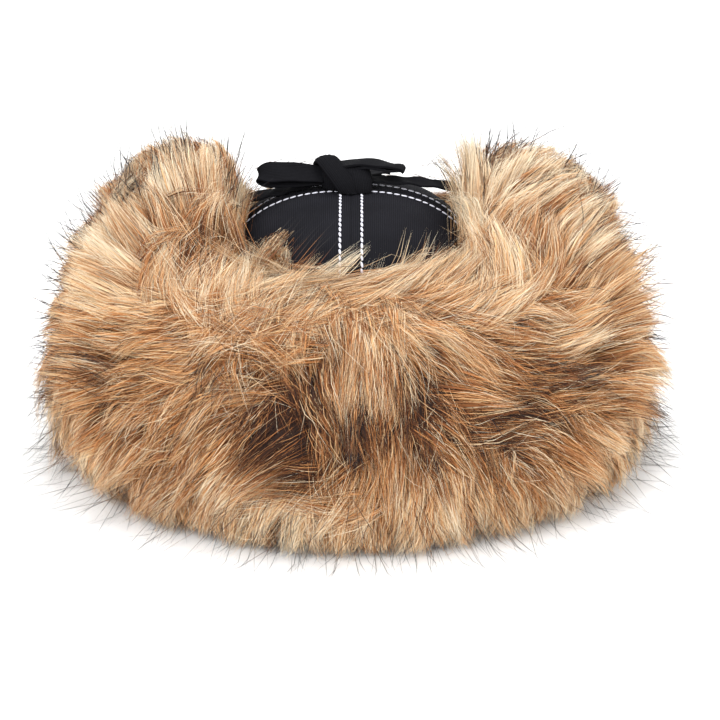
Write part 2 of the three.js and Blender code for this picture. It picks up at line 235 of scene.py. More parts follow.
class Graph:
    """A material's node tree, with short ways to add nodes and join them."""

    def __init__(self, name: str) -> None:
        """Start a material with a Principled shader on its output."""
        self.material = bpy.data.materials.new(name)
        self.material.use_nodes = True
        self.tree = self.material.node_tree
        self.shader = self.tree.nodes["Principled BSDF"]

    def node(self, kind: str, sockets: Optional[dict] = None, **settings: object) -> bpy.types.Node:
        """Add a node.

        Args:
            kind: The node's type, without the ShaderNode that it starts with.
            sockets: Values or outputs for its inputs, by name or number.
            settings: The node's own settings.

        Returns:
            The new node.
        """
        made = self.tree.nodes.new("ShaderNode" + kind)
        for key, value in settings.items():
            setattr(made, key, value)
        for key, value in (sockets or {}).items():
            self.put(made.inputs[key], value)
        return made

    def put(self, entry: bpy.types.NodeSocket, value: Socket) -> None:
        """Join an output to an input, or set the input's own value."""
        if isinstance(value, bpy.types.NodeSocket):
            self.tree.links.new(value, entry)
        elif isinstance(value, tuple) and entry.type == "RGBA":
            entry.default_value = (*value, 1)
        else:
            entry.default_value = value

    def math(self, operation: str, *values: Socket) -> bpy.types.NodeSocket:
        """Work out one number from others."""
        return self.node("Math", dict(enumerate(values)), operation=operation).outputs[0]

    def mix(self, share: Socket, first: Socket, second: Socket) -> bpy.types.NodeSocket:
        """Blend two colours by a share of the second."""
        sockets = {0: share, 6: first, 7: second}
        return self.node("Mix", sockets, data_type="RGBA").outputs[2]

    def ramp(self, value: Socket, low: float, high: float) -> bpy.types.NodeSocket:
        """Rise smoothly from 0 to 1 while a value goes from low to high."""
        sockets = {0: value, 1: low, 2: high}
        return self.node("MapRange", sockets, interpolation_type="SMOOTHSTEP").outputs[0]

    def scale(self, value: Socket, stops: Sequence[tuple[float, Colour]]) -> bpy.types.NodeSocket:
        """Give the colour at a value's place on a scale of colours.

        Args:
            value: The value, from 0 to 1.
            stops: The scale's places, each with its colour.

        Returns:
            The colour.
        """
        made = self.node("ValToRGB", {0: value})
        elements = made.color_ramp.elements
        elements[0].position, elements[1].position = stops[0][0], stops[-1][0]
        for place, _ in stops[1:-1]:
            elements.new(place)
        for element, (_, colour) in zip(elements, stops):
            element.color = (*colour, 1)
        return made.outputs[0]

    def noise(self, place: Socket, scale: float, detail: float = 2) -> bpy.types.NodeSocket:
        """Give a cloud of numbers from 0 to 1, by a place and a scale per metre."""
        return self.node("TexNoise", {"Vector": place, "Scale": scale, "Detail": detail}).outputs[0]

    def bump(self, height: Socket, depth: float, strength: float = 1) -> None:
        """Raise the surface by a height from 0 to 1 and a depth in metres."""
        made = self.node("Bump", {"Height": height, "Distance": depth, "Strength": strength})
        self.put(self.shader.inputs["Normal"], made.outputs[0])

    def look(self, **sockets: Socket) -> bpy.types.Material:
        """Set the shader's own inputs, with underscores for the spaces in their names."""
        for key, value in sockets.items():
            self.put(self.shader.inputs[key.replace("_", " ")], value)
        return self.material


@dataclass(frozen=True)
class Finish:
    """A surface finish, which makes its material once."""

    name: str

    def material(self) -> bpy.types.Material:
        """Give the finish's material, made at its first use."""
        return bpy.data.materials.get(self.name) or self.make(Graph(self.name))

    def make(self, graph: Graph) -> bpy.types.Material:
        """Build the material's nodes."""
        raise NotImplementedError


@dataclass(frozen=True)
class Twill(Finish):
    """Black cotton twill with fine ribs that run up the cap."""

    name: str = "black_twill"
    # The valley colour is painted shade in the rib valleys, and the ridge colour is a painted highlight on
    # the rib tops.
    valley: Colour = (0.0030, 0.0030, 0.0042)
    ridge: Colour = (0.015, 0.015, 0.020)
    rib_pitch: float = 1.05 * MM
    thread_share: float = 0.8
    depth: float = 0.22 * MM
    sway: float = 0.5
    sway_scale: float = 90
    wear_scale: float = 38

    def make(self, graph: Graph) -> bpy.types.Material:
        """Build ribs, the threads that cross them and a little wear, with painted shade in the rib valleys
        and a painted highlight on the ridges.
        """
        place = graph.node("TexCoord").outputs["Object"]
        axes = graph.node("SeparateXYZ", {0: place}).outputs
        sway = graph.noise(place, self.sway_scale)
        across = graph.math("MULTIPLY_ADD", sway, self.sway * self.rib_pitch, axes[0])
        rib = graph.math("SINE", graph.math("MULTIPLY", across, math.tau / self.rib_pitch))
        along = graph.math("ADD", axes[1], graph.math("MULTIPLY_ADD", axes[2], 1.0, across))
        thread_pitch = self.thread_share * self.rib_pitch
        thread = graph.math("SINE", graph.math("MULTIPLY", along, math.tau / thread_pitch))
        relief = graph.math("MULTIPLY_ADD", thread, 0.35, rib)
        level = graph.math("MULTIPLY_ADD", relief, 0.35, 0.5)
        worn = graph.ramp(graph.noise(place, self.wear_scale, 4), 0.35, 0.75)
        # Painted shade and highlight: the colour follows the rib relief, and the wear noise lightens it at
        # random.
        lit = graph.math("MULTIPLY", graph.math("MULTIPLY_ADD", worn, 0.5, 0.55), level)
        graph.bump(level, self.depth, 0.8)
        colour = graph.mix(lit, self.valley, self.ridge)
        return graph.look(Base_Color=colour, Roughness=0.8, Specular_IOR_Level=0.08)


@dataclass(frozen=True)
class Tape(Finish):
    """Soft black tape, ribbed along its length; its tape attribute holds the places across and along."""

    name: str = "black_tape"
    # The valley colour is painted shade in the rib valleys, and the ridge colour is a painted highlight on
    # the rib tops.
    valley: Colour = (0.0020, 0.0020, 0.0026)
    ridge: Colour = (0.0085, 0.0085, 0.0110)
    rib_pitch: float = 1.0 * MM
    thread_share: float = 0.7
    depth: float = 0.2 * MM
    fuzz_scale: float = 900

    def make(self, graph: Graph) -> bpy.types.Material:
        """Build the ribs from the place on the tape, with painted shade in their valleys and a painted
        highlight on their tops.
        """
        place = graph.node("Attribute", attribute_name="tape").outputs["Vector"]
        axes = graph.node("SeparateXYZ", {0: place}).outputs
        rib = graph.math("SINE", graph.math("MULTIPLY", axes[0], math.tau / self.rib_pitch))
        thread_pitch = self.thread_share * self.rib_pitch
        thread = graph.math("SINE", graph.math("MULTIPLY", axes[1], math.tau / thread_pitch))
        level = graph.math("MULTIPLY_ADD", graph.math("MULTIPLY_ADD", thread, 0.3, rib), 0.35, 0.5)
        fuzz = graph.noise(graph.node("TexCoord").outputs["Object"], self.fuzz_scale)
        # Painted shade and highlight: the colour follows the rib relief, with fuzz noise over it.
        lit = graph.math("MULTIPLY", level, graph.math("MULTIPLY_ADD", fuzz, 0.8, 0.4))
        graph.bump(level, self.depth, 0.7)
        colour = graph.mix(lit, self.valley, self.ridge)
        return graph.look(Base_Color=colour, Roughness=0.8, Specular_IOR_Level=0.07)


@dataclass(frozen=True)
class Thread(Finish):
    """Thick white topstitching thread."""

    name: str = "white_thread"
    # The hollow colour is painted shade in the hollows of the twist, and the crest colour is a painted
    # highlight on its crests.
    hollow: Colour = (0.42, 0.42, 0.5)
    crest: Colour = (0.84, 0.84, 0.92)
    twist_scale: float = 2600
    depth: float = 0.1 * MM

    def make(self, graph: Graph) -> bpy.types.Material:
        """Build the fine twist of the thread, with painted shade in its hollows and a painted highlight on
        its crests.
        """
        place = graph.node("TexCoord").outputs["Object"]
        twist = graph.noise(place, self.twist_scale, 1)
        graph.bump(twist, self.depth, 0.5)
        return graph.look(Base_Color=graph.mix(twist, self.hollow, self.crest), Roughness=0.6)


@dataclass(frozen=True)
class Undercoat(Finish):
    """The dense woolly depth of the fur, seen only between the locks."""

    name: str = "fur_undercoat"
    deep: Colour = (0.030, 0.013, 0.006)
    warm: Colour = (0.30, 0.13, 0.045)
    strand_scale: float = 700
    patch_scale: float = 60
    depth: float = 1.5 * MM

    def make(self, graph: Graph) -> bpy.types.Material:
        """Build dark wool with warmer strands in it."""
        place = graph.node("TexCoord").outputs["Object"]
        stretched = graph.node("Mapping", {"Vector": place, "Scale": (1.0, 1.0, 0.35)}).outputs[0]
        strands = graph.noise(stretched, self.strand_scale, 3)
        patches = graph.noise(place, self.patch_scale)
        share = graph.math("MULTIPLY", graph.ramp(strands, 0.4, 0.7), patches)
        graph.bump(strands, self.depth)
        return graph.look(Base_Color=graph.mix(share, self.deep, self.warm), Roughness=0.9)


class Coat(Enum):
    """The kinds of hair, in their order across the fur's colour map."""

    BEIGE = 0
    GINGER = 1
    GUARD = 2


@dataclass(frozen=True)
class Hair(Finish):
    """Fur hair by its own map: its kind and tone across the map, and root to tip up it.

    A hair is dark at its root and grows lighter to its tip, the sooner the higher its tone is. A guard hair
    ends nearly black.
    """

    name: str = "fur_hair"
    beige: tuple[tuple[float, Colour], ...] = (
        (0.00, (0.020, 0.010, 0.007)),
        (0.18, (0.070, 0.026, 0.011)),
        (0.36, (0.228, 0.079, 0.028)),
        (0.55, (0.464, 0.230, 0.094)),
        (0.75, (0.648, 0.487, 0.308)),
        (1.00, (0.780, 0.710, 0.560)),
    )
    ginger: tuple[tuple[float, Colour], ...] = (
        (0.00, (0.020, 0.009, 0.006)),
        (0.18, (0.080, 0.028, 0.010)),
        (0.36, (0.270, 0.096, 0.030)),
        (0.55, (0.515, 0.224, 0.077)),
        (0.75, (0.670, 0.440, 0.225)),
        (1.00, (0.780, 0.650, 0.450)),
    )
    guard_tip: Colour = (0.016, 0.014, 0.015)
    grain: float = 300.0
    tone_share: float = 0.98
    height_share: float = 0.62
    start: float = -0.52
    jitter: float = 0.14

    def make(self, graph: Graph) -> bpy.types.Material:
        """Build the colour map of all the hairs."""
        place = graph.node("UVMap", uv_map="OFBake").outputs[0]
        axes = graph.node("SeparateXYZ", {0: place}).outputs
        across, up = axes[0], axes[1]
        cell = graph.math("FLOOR", graph.math("MULTIPLY", across, self.grain))
        chance = graph.node("TexWhiteNoise", {"W": cell}, noise_dimensions="1D").outputs
        band = graph.math("MULTIPLY", across, float(len(Coat)))
        tone = graph.math("FRACT", band)
        light = graph.math("MULTIPLY_ADD", tone, self.tone_share, self.start)
        light = graph.math("MULTIPLY_ADD", up, self.height_share, light)
        light = graph.math("MULTIPLY_ADD", chance[0], self.jitter, light)
        light = graph.math("SUBTRACT", light, self.jitter / 2)
        is_ginger = graph.math("COMPARE", graph.math("FLOOR", band), float(Coat.GINGER.value), 0.1)
        coat = graph.mix(is_ginger, graph.scale(light, self.beige), graph.scale(light, self.ginger))
        is_guard = graph.math("GREATER_THAN", band, float(Coat.GUARD.value))
        dark = graph.math("MULTIPLY", is_guard, graph.ramp(up, 0.5, 0.78))
        coat = graph.mix(dark, coat, self.guard_tip)
        return graph.look(Base_Color=coat, Roughness=0.6, Specular_IOR_Level=0.12)


@dataclass(frozen=True)
class Paper(Finish):
    """Plain white studio paper."""

    name: str = "studio_paper"
    shade: Colour = (0.92, 0.92, 0.92)

    def make(self, graph: Graph) -> bpy.types.Material:
        """Build paper with a very slight grain."""
        place = graph.node("TexCoord").outputs["Object"]
        grain = graph.noise(place, 40)
        rough = graph.math("MULTIPLY_ADD", grain, 0.05, 0.9)
        return graph.look(Base_Color=self.shade, Roughness=rough, Specular_IOR_Level=0.1)


TWILL, TAPE, THREAD = Twill(), Tape(), Thread()
UNDERCOAT, HAIR, PAPER = Undercoat(), Hair(), Paper()


# Forms that the pieces share


@dataclass(frozen=True)
class HeadForm:
    """The crown's outer form, which the flaps, the fur and the bow follow."""

    half_width: float = 86.5 * MM
    half_length: float = 102.5 * MM
    rim_height: float = 12 * MM
    side_height: float = 60 * MM
    side_taper: float = 0.925
    dome_rise: float = 83 * MM
    dome_power: float = 2.5
    leave_height: float = 108 * MM

    @property
    def spring(self) -> float:
        """Height where the straight side turns into the dome."""
        return self.rim_height + self.side_height

    @property
    def top(self) -> float:
        """Height of the crown's top."""
        return self.spring + self.dome_rise

    def rim(self, azimuth: Points) -> tuple[Points, Points]:
        """Give the rim's points in plan at azimuths in degrees, 0 at the front, and its outward normals."""
        right, back = np.sin(np.radians(azimuth)), -np.cos(np.radians(azimuth))
        normal = unit(np.stack([self.half_length * right, self.half_width * back], -1))
        return np.stack([self.half_width * right, self.half_length * back], -1), normal

    def section(self, height: Points) -> tuple[Points, Points, Points]:
        """Find the crown's outline at heights.

        Args:
            height: The heights.

        Returns:
            The share of the rim there, and the outward and upward parts of the normal.
        """
        rise = climb(height, self.spring, self.dome_rise)
        share = (1 - rise**self.dome_power) ** (1 / self.dome_power)
        out = share ** (self.dome_power - 1) / (self.side_taper * self.half_width)
        up = rise ** (self.dome_power - 1) / self.dome_rise
        length = np.hypot(out, up)
        low = height <= self.spring
        side = 1 + (self.side_taper - 1) * (height - self.rim_height) / self.side_height
        share = np.where(low, side, self.side_taper * share)
        return share, np.where(low, 1, out / length), np.where(low, 0, up / length)

    def height_at(self, share: Points) -> Points:
        """Give the dome's height where its outline is a share of the rim's."""
        rise = (1 - (share / self.side_taper) ** self.dome_power) ** (1 / self.dome_power)
        return self.spring + self.dome_rise * rise

    def on_crown(self, azimuth: Points, height: Points, lift: float) -> Points:
        """Give points on the crown, lifted off it."""
        azimuth, height = np.broadcast_arrays(np.asarray(azimuth, float), np.asarray(height, float))
        plan, normal = self.rim(azimuth)
        share, out, up = self.section(height)
        flat = scaled(plan, share) + scaled(normal, lift * out)
        return np.concatenate([flat, (height + lift * up)[..., None]], -1)

    def on_flap(self, azimuth: Points, height: Points, lift: float) -> Points:
        """Give points on a folded-up flap, which goes straight on where it leaves the crown.

        Args:
            azimuth: Degrees round the cap.
            height: Heights over the floor.
            lift: How far off the crown.

        Returns:
            One point for each pair.
        """
        azimuth, height = np.broadcast_arrays(np.asarray(azimuth, float), np.asarray(height, float))
        leave, step = self.leave_height, 1 * MM
        low = self.on_crown(azimuth, np.minimum(height, leave), lift)
        foot = self.on_crown(azimuth, np.full_like(height, leave), lift)
        slope = foot - self.on_crown(azimuth, np.full_like(height, leave - step), lift)
        high = foot + scaled(slope, (height - leave) / slope[..., 2])
        return np.where((height <= leave)[..., None], low, high)

    def outside(self, azimuth: Points, out: Points, height: Points) -> Points:
        """Give points at a horizontal distance outside the rim."""
        plan, normal = self.rim(azimuth)
        return np.concatenate([plan + scaled(normal, out), height[..., None]], -1)

    def over(self, x: Points, y: Points, lift: float) -> Points:
        """Give the height over places in plan of a shell lifted off the dome."""
        u = x / (self.side_taper * self.half_width + lift)
        v = y / (self.side_taper * self.half_length + lift)
        share = np.minimum(1, np.hypot(u, v))
        rise = (1 - share**self.dome_power) ** (1 / self.dome_power)
        return self.spring + (self.dome_rise + lift) * rise


@dataclass(frozen=True)
class FlapSection:
    """The flaps and their pile at one azimuth, the same on both sides of the cap, in millimetres."""

    azimuth: float
    cloth_top: float
    touch: float
    belly: float
    belly_height: float
    crest_out: float
    crest: float


FLAP_SECTIONS = (
    FlapSection(0, 90, 112, 67, 45, -2, 134),
    FlapSection(30, 90, 112, 70, 45, -1, 135),
    FlapSection(45, 90, 114, 77, 46, 2, 143),
    FlapSection(60, 102, 124, 84, 47, 8, 162),
    FlapSection(75, 142, 150, 88, 48, 8, 179),
    FlapSection(90, 154, 160, 88, 48, 8, 185),
    FlapSection(105, 142, 149, 86, 48, 8, 179),
    FlapSection(120, 104, 120, 80, 47, 8, 156),
    FlapSection(135, 86, 98, 73, 46, 6, 126),
    FlapSection(150, 82, 91, 69, 45, 6, 111),
    FlapSection(180, 82, 90, 67, 45, 6, 108),
)


def section_value(azimuth: Points, name: str) -> Points:
    """Give one measure of the flaps' sections at azimuths in degrees, in metres."""
    turned = np.abs((np.asarray(azimuth, float) + 180) % 360 - 180)
    marks, values = zip(*((row.azimuth, getattr(row, name)) for row in FLAP_SECTIONS))
    return MM * np.interp(turned, marks, values)


FLAP_CLEARANCE = 0.2


class Flap(Enum):
    """The four flaps: the start of their nodes' names, and the azimuths of their two edges."""

    FRONT = ("front_flap", -52.5, 52.5)
    RIGHT_EAR = ("ear_flap_right", 52.5, 127.5)
    NECK = ("neck_flap", 127.5, 232.5)
    LEFT_EAR = ("ear_flap_left", -127.5, -52.5)

    @property
    def title(self) -> str:
        """The start of the flap's node names."""
        return self.value[0]

    def azimuths(self, count: int) -> Points:
        """Give azimuths evenly from one edge to the other, just inside them."""
        return np.linspace(self.value[1] + FLAP_CLEARANCE, self.value[2] - FLAP_CLEARANCE, count)


@dataclass
class PileForm:
    """The outer form of the fur, by azimuth and by share.

    The share is 0 at the seat by the crown and 1 at the foot, even along the surface. Below 0 it goes on from
    the seat towards the middle of the cap, where only the ends of the hair reach.
    """

    head: HeadForm
    brow: float = 0.22
    belly: float = 0.70
    brow_power: float = 3
    foot_share: float = 0.66
    seat_lift: float = 3.2 * MM
    over_share: float = 0.2
    over_reach: float = 36 * MM
    over_lift: float = 2.2 * MM
    over_slope: float = 0.08
    lobe_slope: float = 0.35
    lobe_degrees: float = 38
    steps: int = 160
    fine_steps: int = 500
    skin: Course = Course((0, 0.22, 0.35, 0.5, 0.6, 0.7, 0.85, 1), (0.99, 0.95, 0.8, 0.5, 0.32, 0.2, 0.05, 0))

    def __post_init__(self) -> None:
        """Lay the form out in tables, a row for each degree and a column for each share."""
        self.degrees = np.arange(-180.0, 181.0)
        fine = np.linspace(0, 1, self.fine_steps)
        curve = self.surface(self.degrees[:, None], fine[None, :])
        walked = np.linalg.norm(np.diff(curve, axis=1), axis=2).cumsum(1)
        walked = np.concatenate([np.zeros((len(curve), 1)), walked], 1)
        walked /= walked[:, -1:]
        even = np.linspace(0, 1, self.steps + 1)
        self.alongs = np.stack([np.interp(even, row, fine) for row in walked])
        outer = self.surface(self.degrees[:, None], self.alongs)
        count = round(self.over_share * self.steps)
        gone = np.linspace(1, 0, count + 1)[:-1]
        over = self._over(outer[:, 0], gone)
        self.outer = np.concatenate([over, outer], 1)
        self.alongs = np.concatenate([np.tile(-self.over_share * gone, (len(outer), 1)), self.alongs], 1)
        self.core = self._core()
        right = np.gradient(self.outer, axis=0)
        down = np.gradient(self.outer, axis=1) * self.steps
        self.wide = np.linalg.norm(right, axis=2)
        self.tall = np.linalg.norm(down, axis=2)
        right /= self.wide[..., None]
        up = unit(-down + right * (down * right).sum(-1, keepdims=True))
        self.right, self.up, self.out = right, up, np.cross(right, up)

    def _over(self, seat: Points, gone: Points) -> Points:
        """Go on from the seat to the middle, over the crown where it is high and level where it isn't.

        Args:
            seat: The seat's points, one for each degree.
            gone: Shares of the way to go, from the farthest to the nearest.

        Returns:
            A row of points for each degree.
        """
        flat = seat[:, None, :2]
        far = np.linalg.norm(flat, axis=2, keepdims=True)
        plan = flat * (1 - self.over_reach * gone[None, :, None] / far)
        free = np.clip(1 - abs(np.abs(self.degrees) - 90) / self.lobe_degrees, 0, 1)[:, None]
        slope = self.lobe_slope * free + self.over_slope
        level = seat[:, None, 2] + slope * self.over_reach * gone[None, :]
        crown = self.head.over(plan[..., 0], plan[..., 1], self.over_lift)
        return np.concatenate([plan, np.maximum(level, crown)[..., None]], 2)

    def _core(self) -> Points:
        """Place the skin that the hair grows from, behind each point of the outer form."""
        share = self.skin.at(self.alongs)
        top = section_value(self.degrees, "cloth_top")[:, None]
        height = self.head.rim_height + (top - self.head.rim_height) * share
        return self.head.on_flap(self.degrees[:, None], height, self.seat_lift + 0.5 * MM)

    def surface(self, azimuth: Points, along: Points) -> Points:
        """Give points of the outer form by azimuth and by the place in its section.

        Args:
            azimuth: Degrees round the cap.
            along: 0 at the seat by the crown, brow at the crest, belly at the widest, 1 at the foot.

        Returns:
            One point for each pair.
        """
        azimuth, along = np.broadcast_arrays(np.asarray(azimuth, float), np.asarray(along, float))
        touch, belly, height, out, crest = (
            section_value(azimuth, name) for name in ("touch", "belly", "belly_height", "crest_out", "crest")
        )
        rise = np.sin(np.pi / 2 * np.clip(along / self.brow, 0, 1))
        inward = (1 - rise**self.brow_power) ** (1 / self.brow_power)
        z = touch + (crest - touch) * rise
        seat = self.head.on_flap(azimuth, touch, self.seat_lift)
        seat[..., 2] = z
        top = self.head.outside(azimuth, out, z)
        brow = top + scaled(seat - top, inward)
        turn = np.pi / 2 * climb(along, self.brow, self.belly - self.brow)
        face_out = out + (belly - out) * np.sin(turn)
        face = self.head.outside(azimuth, face_out, height + (crest - height) * np.cos(turn))
        turn = np.pi / 2 * climb(along, self.belly, 1 - self.belly)
        foot_out = belly * (self.foot_share + (1 - self.foot_share) * np.cos(turn))
        foot = self.head.outside(azimuth, foot_out, height * (1 - np.sin(turn)))
        high, middle = (along < self.brow)[..., None], (along < self.belly)[..., None]
        return np.where(high, brow, np.where(middle, face, foot))

    def at(self, table: Points, azimuth: Points, share: Points) -> Points:
        """Read a table between its rows and columns.

        Args:
            table: One value or row of values for each degree and step.
            azimuth: Degrees round the cap.
            share: Shares over the pile.

        Returns:
            The values there.
        """
        row = (np.asarray(azimuth, float) + 180) % 360
        column = np.clip((np.asarray(share, float) + self.over_share) * self.steps, 0, table.shape[1] - 1.001)
        i, j = np.minimum(row.astype(int), 359), column.astype(int)
        a, b = row - i, column - j
        if table.ndim == 3:
            a, b = a[..., None], b[..., None]
        low = table[i, j] * (1 - b) + table[i, j + 1] * b
        high = table[i + 1, j] * (1 - b) + table[i + 1, j + 1] * b
        return low * (1 - a) + high * a

    def axes(self, azimuth: Points, share: Points) -> tuple[Points, Points, Points]:
        """Give the directions to the right, up the pile and outwards, as seen from outside."""
        return tuple(self.at(table, azimuth, share) for table in (self.right, self.up, self.out))

    def inside(self, azimuth: Points, share: Points, depth: Points, most: float = 0.85) -> Points:
        """Give points at a depth under the outer form, at most a given share of the way to the skin."""
        outer, core = self.at(self.outer, azimuth, share), self.at(self.core, azimuth, share)
        far = np.linalg.norm(core - outer, axis=-1)
        return outer + scaled(core - outer, np.minimum(most, depth / np.maximum(far, 1e-5)))


HEAD = HeadForm()
PILE = PileForm(HEAD)


# Crown


@dataclass(frozen=True)
class Dent:
    """A soft dent in the crown: its two ends, its depth and its width, in millimetres."""

    start: Place
    end: Place
    depth: float
    width: float


@dataclass
class Crown:
    """Four twill panels, with two rows of stitches along the front-to-back seam and the ear-to-ear seam."""

    head: HeadForm
    sides: int = 144
    side_steps: int = 6
    dome_steps: int = 26
    wall: float = 2.3 * MM
    seam_gap: float = 0.06 * MM
    seam_dip: float = 0.5 * MM
    seam_half: float = 2.5 * MM
    dent_fade: float = 20 * MM
    edge_round: float = 0.7 * MM
    row_offset: float = 6 * MM
    stitch_pitch: float = 4.2 * MM
    stitch_length: float = 3.6 * MM
    stitch_width: float = 1.45 * MM
    stitch_height: float = 0.8 * MM
    stitch_lift: float = 0.15 * MM
    stitch_turn: float = 9.0
    stitch_blunt: float = 0.8
    seed: int = 11
    dents: tuple[Dent, ...] = (
        Dent((-48, -40, 133), (-6, -20, 156), 1.6, 9),
        Dent((-30, -62, 118), (-10, -34, 150), 0.9, 8),
        Dent((14, -30, 152), (44, -52, 128), 0.8, 9),
        Dent((50, -18, 138), (22, -4, 156), 0.9, 8),
        Dent((-40, 30, 146), (-12, 52, 144), 1.4, 10),
        Dent((12, 60, 138), (42, 30, 146), 1.2, 10),
    )

    def build(self) -> None:
        """Make the four panels and the topstitching."""
        shell = self._raise_dome()
        self._settle(shell)
        for end, front in (("front", True), ("back", False)):
            for side, right in (("left", False), ("right", True)):
                node = f"crown_{end}_{side}"
                hand_over(self._cut_panel(shell, node, front, right), "twill", TWILL, node)
        bpy.data.objects.remove(shell)
        hand_over(self._topstitch(), "twill", THREAD)

    def _raise_dome(self) -> Piece:
        """Pull a ring up from the rim to the top, drawing it in to the crown's outline at each step.

        Returns:
            The dome, a single layer.
        """
        deselect()
        foot = (0, 0, self.head.rim_height)
        bpy.ops.mesh.primitive_circle_add(vertices=self.sides, radius=1, location=foot)
        shell = bpy.context.object
        bpy.ops.object.transform_apply()
        edit(shell)
        bpy.ops.transform.resize(value=(self.head.half_width, self.head.half_length, 1))
        side = np.linspace(self.head.rim_height, self.head.spring, self.side_steps + 1)[1:]
        turn = np.linspace(0, math.pi / 2, self.dome_steps + 1)[1:]
        dome = self.head.height_at(self.head.side_taper * np.cos(turn[:-1]))
        height, share = self.head.rim_height, 1.0
        for next_height in [*side, *dome]:
            next_share = float(self.head.section(np.array(next_height))[0])
            bpy.ops.mesh.extrude_region_move(TRANSFORM_OT_translate={"value": (0, 0, next_height - height)})
            bpy.ops.transform.resize(value=(next_share / share, next_share / share, 1))
            height, share = next_height, next_share
        bpy.ops.mesh.extrude_region_move(TRANSFORM_OT_translate={"value": (0, 0, self.head.top - height)})
        bpy.ops.mesh.merge(type="CENTER")
        bpy.ops.mesh.select_all(action="SELECT")
        bpy.ops.mesh.normals_make_consistent(inside=False)
        leave_edit()
        return shell

    def _settle(self, shell: Piece) -> None:
        """Draw the cloth in along the seams and give it the soft dents of a cap that has been handled.

        Args:
            shell: The dome, which it changes.
        """
        places = vertices_of(shell)
        outward = unit(places - np.array([0, 0, self.head.spring * 0.6]))
        near_seam = np.minimum(np.abs(places[:, 0]), np.abs(places[:, 1]))
        dip = self.seam_dip * bell(near_seam, self.seam_half)
        above = climb(places[:, 2], self.head.spring, self.dent_fade)
        for dent in self.dents:
            a, b = MM * np.array(dent.start, float), MM * np.array(dent.end, float)
            t = np.clip((places - a) @ (b - a) / ((b - a) @ (b - a)), 0, 1)
            away = np.linalg.norm(places - (a + t[:, None] * (b - a)), axis=1)
            fade = np.sin(math.pi * np.clip(t, 0.02, 0.98))
            dip += dent.depth * MM * fade * bell(away, dent.width * MM)
        move_vertices(shell, places - scaled(outward, dip * above))

    def _cut_panel(self, shell: Piece, node: str, front: bool, right: bool) -> Piece:
        """Cut one quarter out of the shell and give it the cloth's thickness.

        Args:
            shell: The whole dome, a single layer.
            node: The CAD node that the panel stands for.
            front: True for a front panel.
            right: True for a right one.

        Returns:
            The panel.
        """
        panel = shell.copy()
        panel.data = shell.data.copy()
        panel.name = "twill_" + node
        bpy.context.scene.collection.objects.link(panel)
        edit(panel)
        side, end = (1 if right else -1), (-1 if front else 1)
        for way in ((side, 0, 0), (0, end, 0)):
            bpy.ops.mesh.select_all(action="SELECT")
            place = tuple(self.seam_gap / 2 * k for k in way)
            bpy.ops.mesh.bisect(plane_co=place, plane_no=way, clear_inner=True)
        leave_edit()
        make_cloth(panel, self.wall, self.edge_round, -1)
        return panel

    def _row(self, offset: float, along_x: bool, lift: float) -> tuple[Points, Points]:
        """Trace one row of stitches over the crown from rim to rim.

        Args:
            offset: The row's distance from the seam, to the right or to the back.
            along_x: True beside the ear-to-ear seam.
            lift: Height of the thread over the cloth.

        Returns:
            Points close together along the row, and the outward normals there.
        """
        reach = self.head.half_length if along_x else self.head.half_width
        side = np.linspace(self.head.rim_height + 2 * MM, self.head.spring, 30)
        share = np.linspace(self.head.side_taper, abs(offset) / reach + 1e-4, 160)[1:]
        height = np.concatenate([side, self.head.height_at(share)])
        share = self.head.section(height)[0]
        ratio = np.clip(offset / (reach * share), -1, 1)
        first = np.degrees(np.arccos(-ratio)) if along_x else np.degrees(np.arcsin(ratio))
        second = -first if along_x else 180 - first
        azimuth = np.concatenate([first, second[::-1]])
        height = np.concatenate([height, height[::-1]])
        points = self.head.on_crown(azimuth, height, lift)
        normals = self.head.on_crown(azimuth, height, 1.0) - self.head.on_crown(azimuth, height, 0.0)
        return points, normals

    def _stitch(self) -> tuple[Points, np.ndarray, np.ndarray]:
        """Model one stitch, a short drawn-out bead of thread along X.

        Returns:
            Its vertices, the vertex of each face corner, and the number of corners of each face.
        """
        deselect()
        bpy.ops.mesh.primitive_uv_sphere_add(segments=8, ring_count=6, radius=1)
        bead = bpy.context.object
        edit(bead)
        bpy.ops.transform.rotate(value=math.pi / 2, orient_axis="Y", center_override=(0, 0, 0))
        size = (self.stitch_length / 2, self.stitch_width / 2, self.stitch_height / 2)
        bpy.ops.transform.resize(value=size)
        leave_edit()
        places = vertices_of(bead)
        blunt = places[:, 0] / (self.stitch_length / 2)
        places[:, 0] = self.stitch_length / 2 * np.sign(blunt) * np.abs(blunt) ** self.stitch_blunt
        corners = np.array([v for face in bead.data.polygons for v in face.vertices])
        sizes = np.array([len(face.vertices) for face in bead.data.polygons])
        bpy.data.objects.remove(bead)
        return places, corners, sizes

    def _topstitch(self) -> Piece:
        """Copy the stitch along the four rows, each one a little turned as sewn thread lies.

        Returns:
            One piece of all the stitches.
        """
        rng = np.random.default_rng(self.seed)
        bead, corners, sizes = self._stitch()
        places, loops, count = [], [], 0
        for along_x in (False, True):
            for offset in (-self.row_offset, self.row_offset):
                points, normals = self._row(offset, along_x, self.stitch_lift)
                walked = walk(points)
                for at in np.arange(self.stitch_pitch / 2, walked[-1], self.stitch_pitch):
                    middle, up = read(at, walked, points), read(at, walked, normals)
                    ahead = read(at + 0.5 * MM, walked, points) - middle
                    up /= np.linalg.norm(up)
                    ahead -= up * (ahead @ up)
                    ahead /= np.linalg.norm(ahead)
                    beside = np.cross(up, ahead)
                    turn = math.radians(rng.normal(self.stitch_turn, 3))
                    axis = ahead * math.cos(turn) + beside * math.sin(turn)
                    stretch = rng.uniform(0.92, 1.06)
                    basis = np.stack([axis * stretch, np.cross(up, axis), up])
                    places.append(middle + bead @ basis)
                    loops.append(corners + count)
                    count += len(bead)
        every = np.tile(sizes, len(places))
        return mesh_piece("crown_topstitching", np.concatenate(places), np.concatenate(loops), every)


# Flap cloths


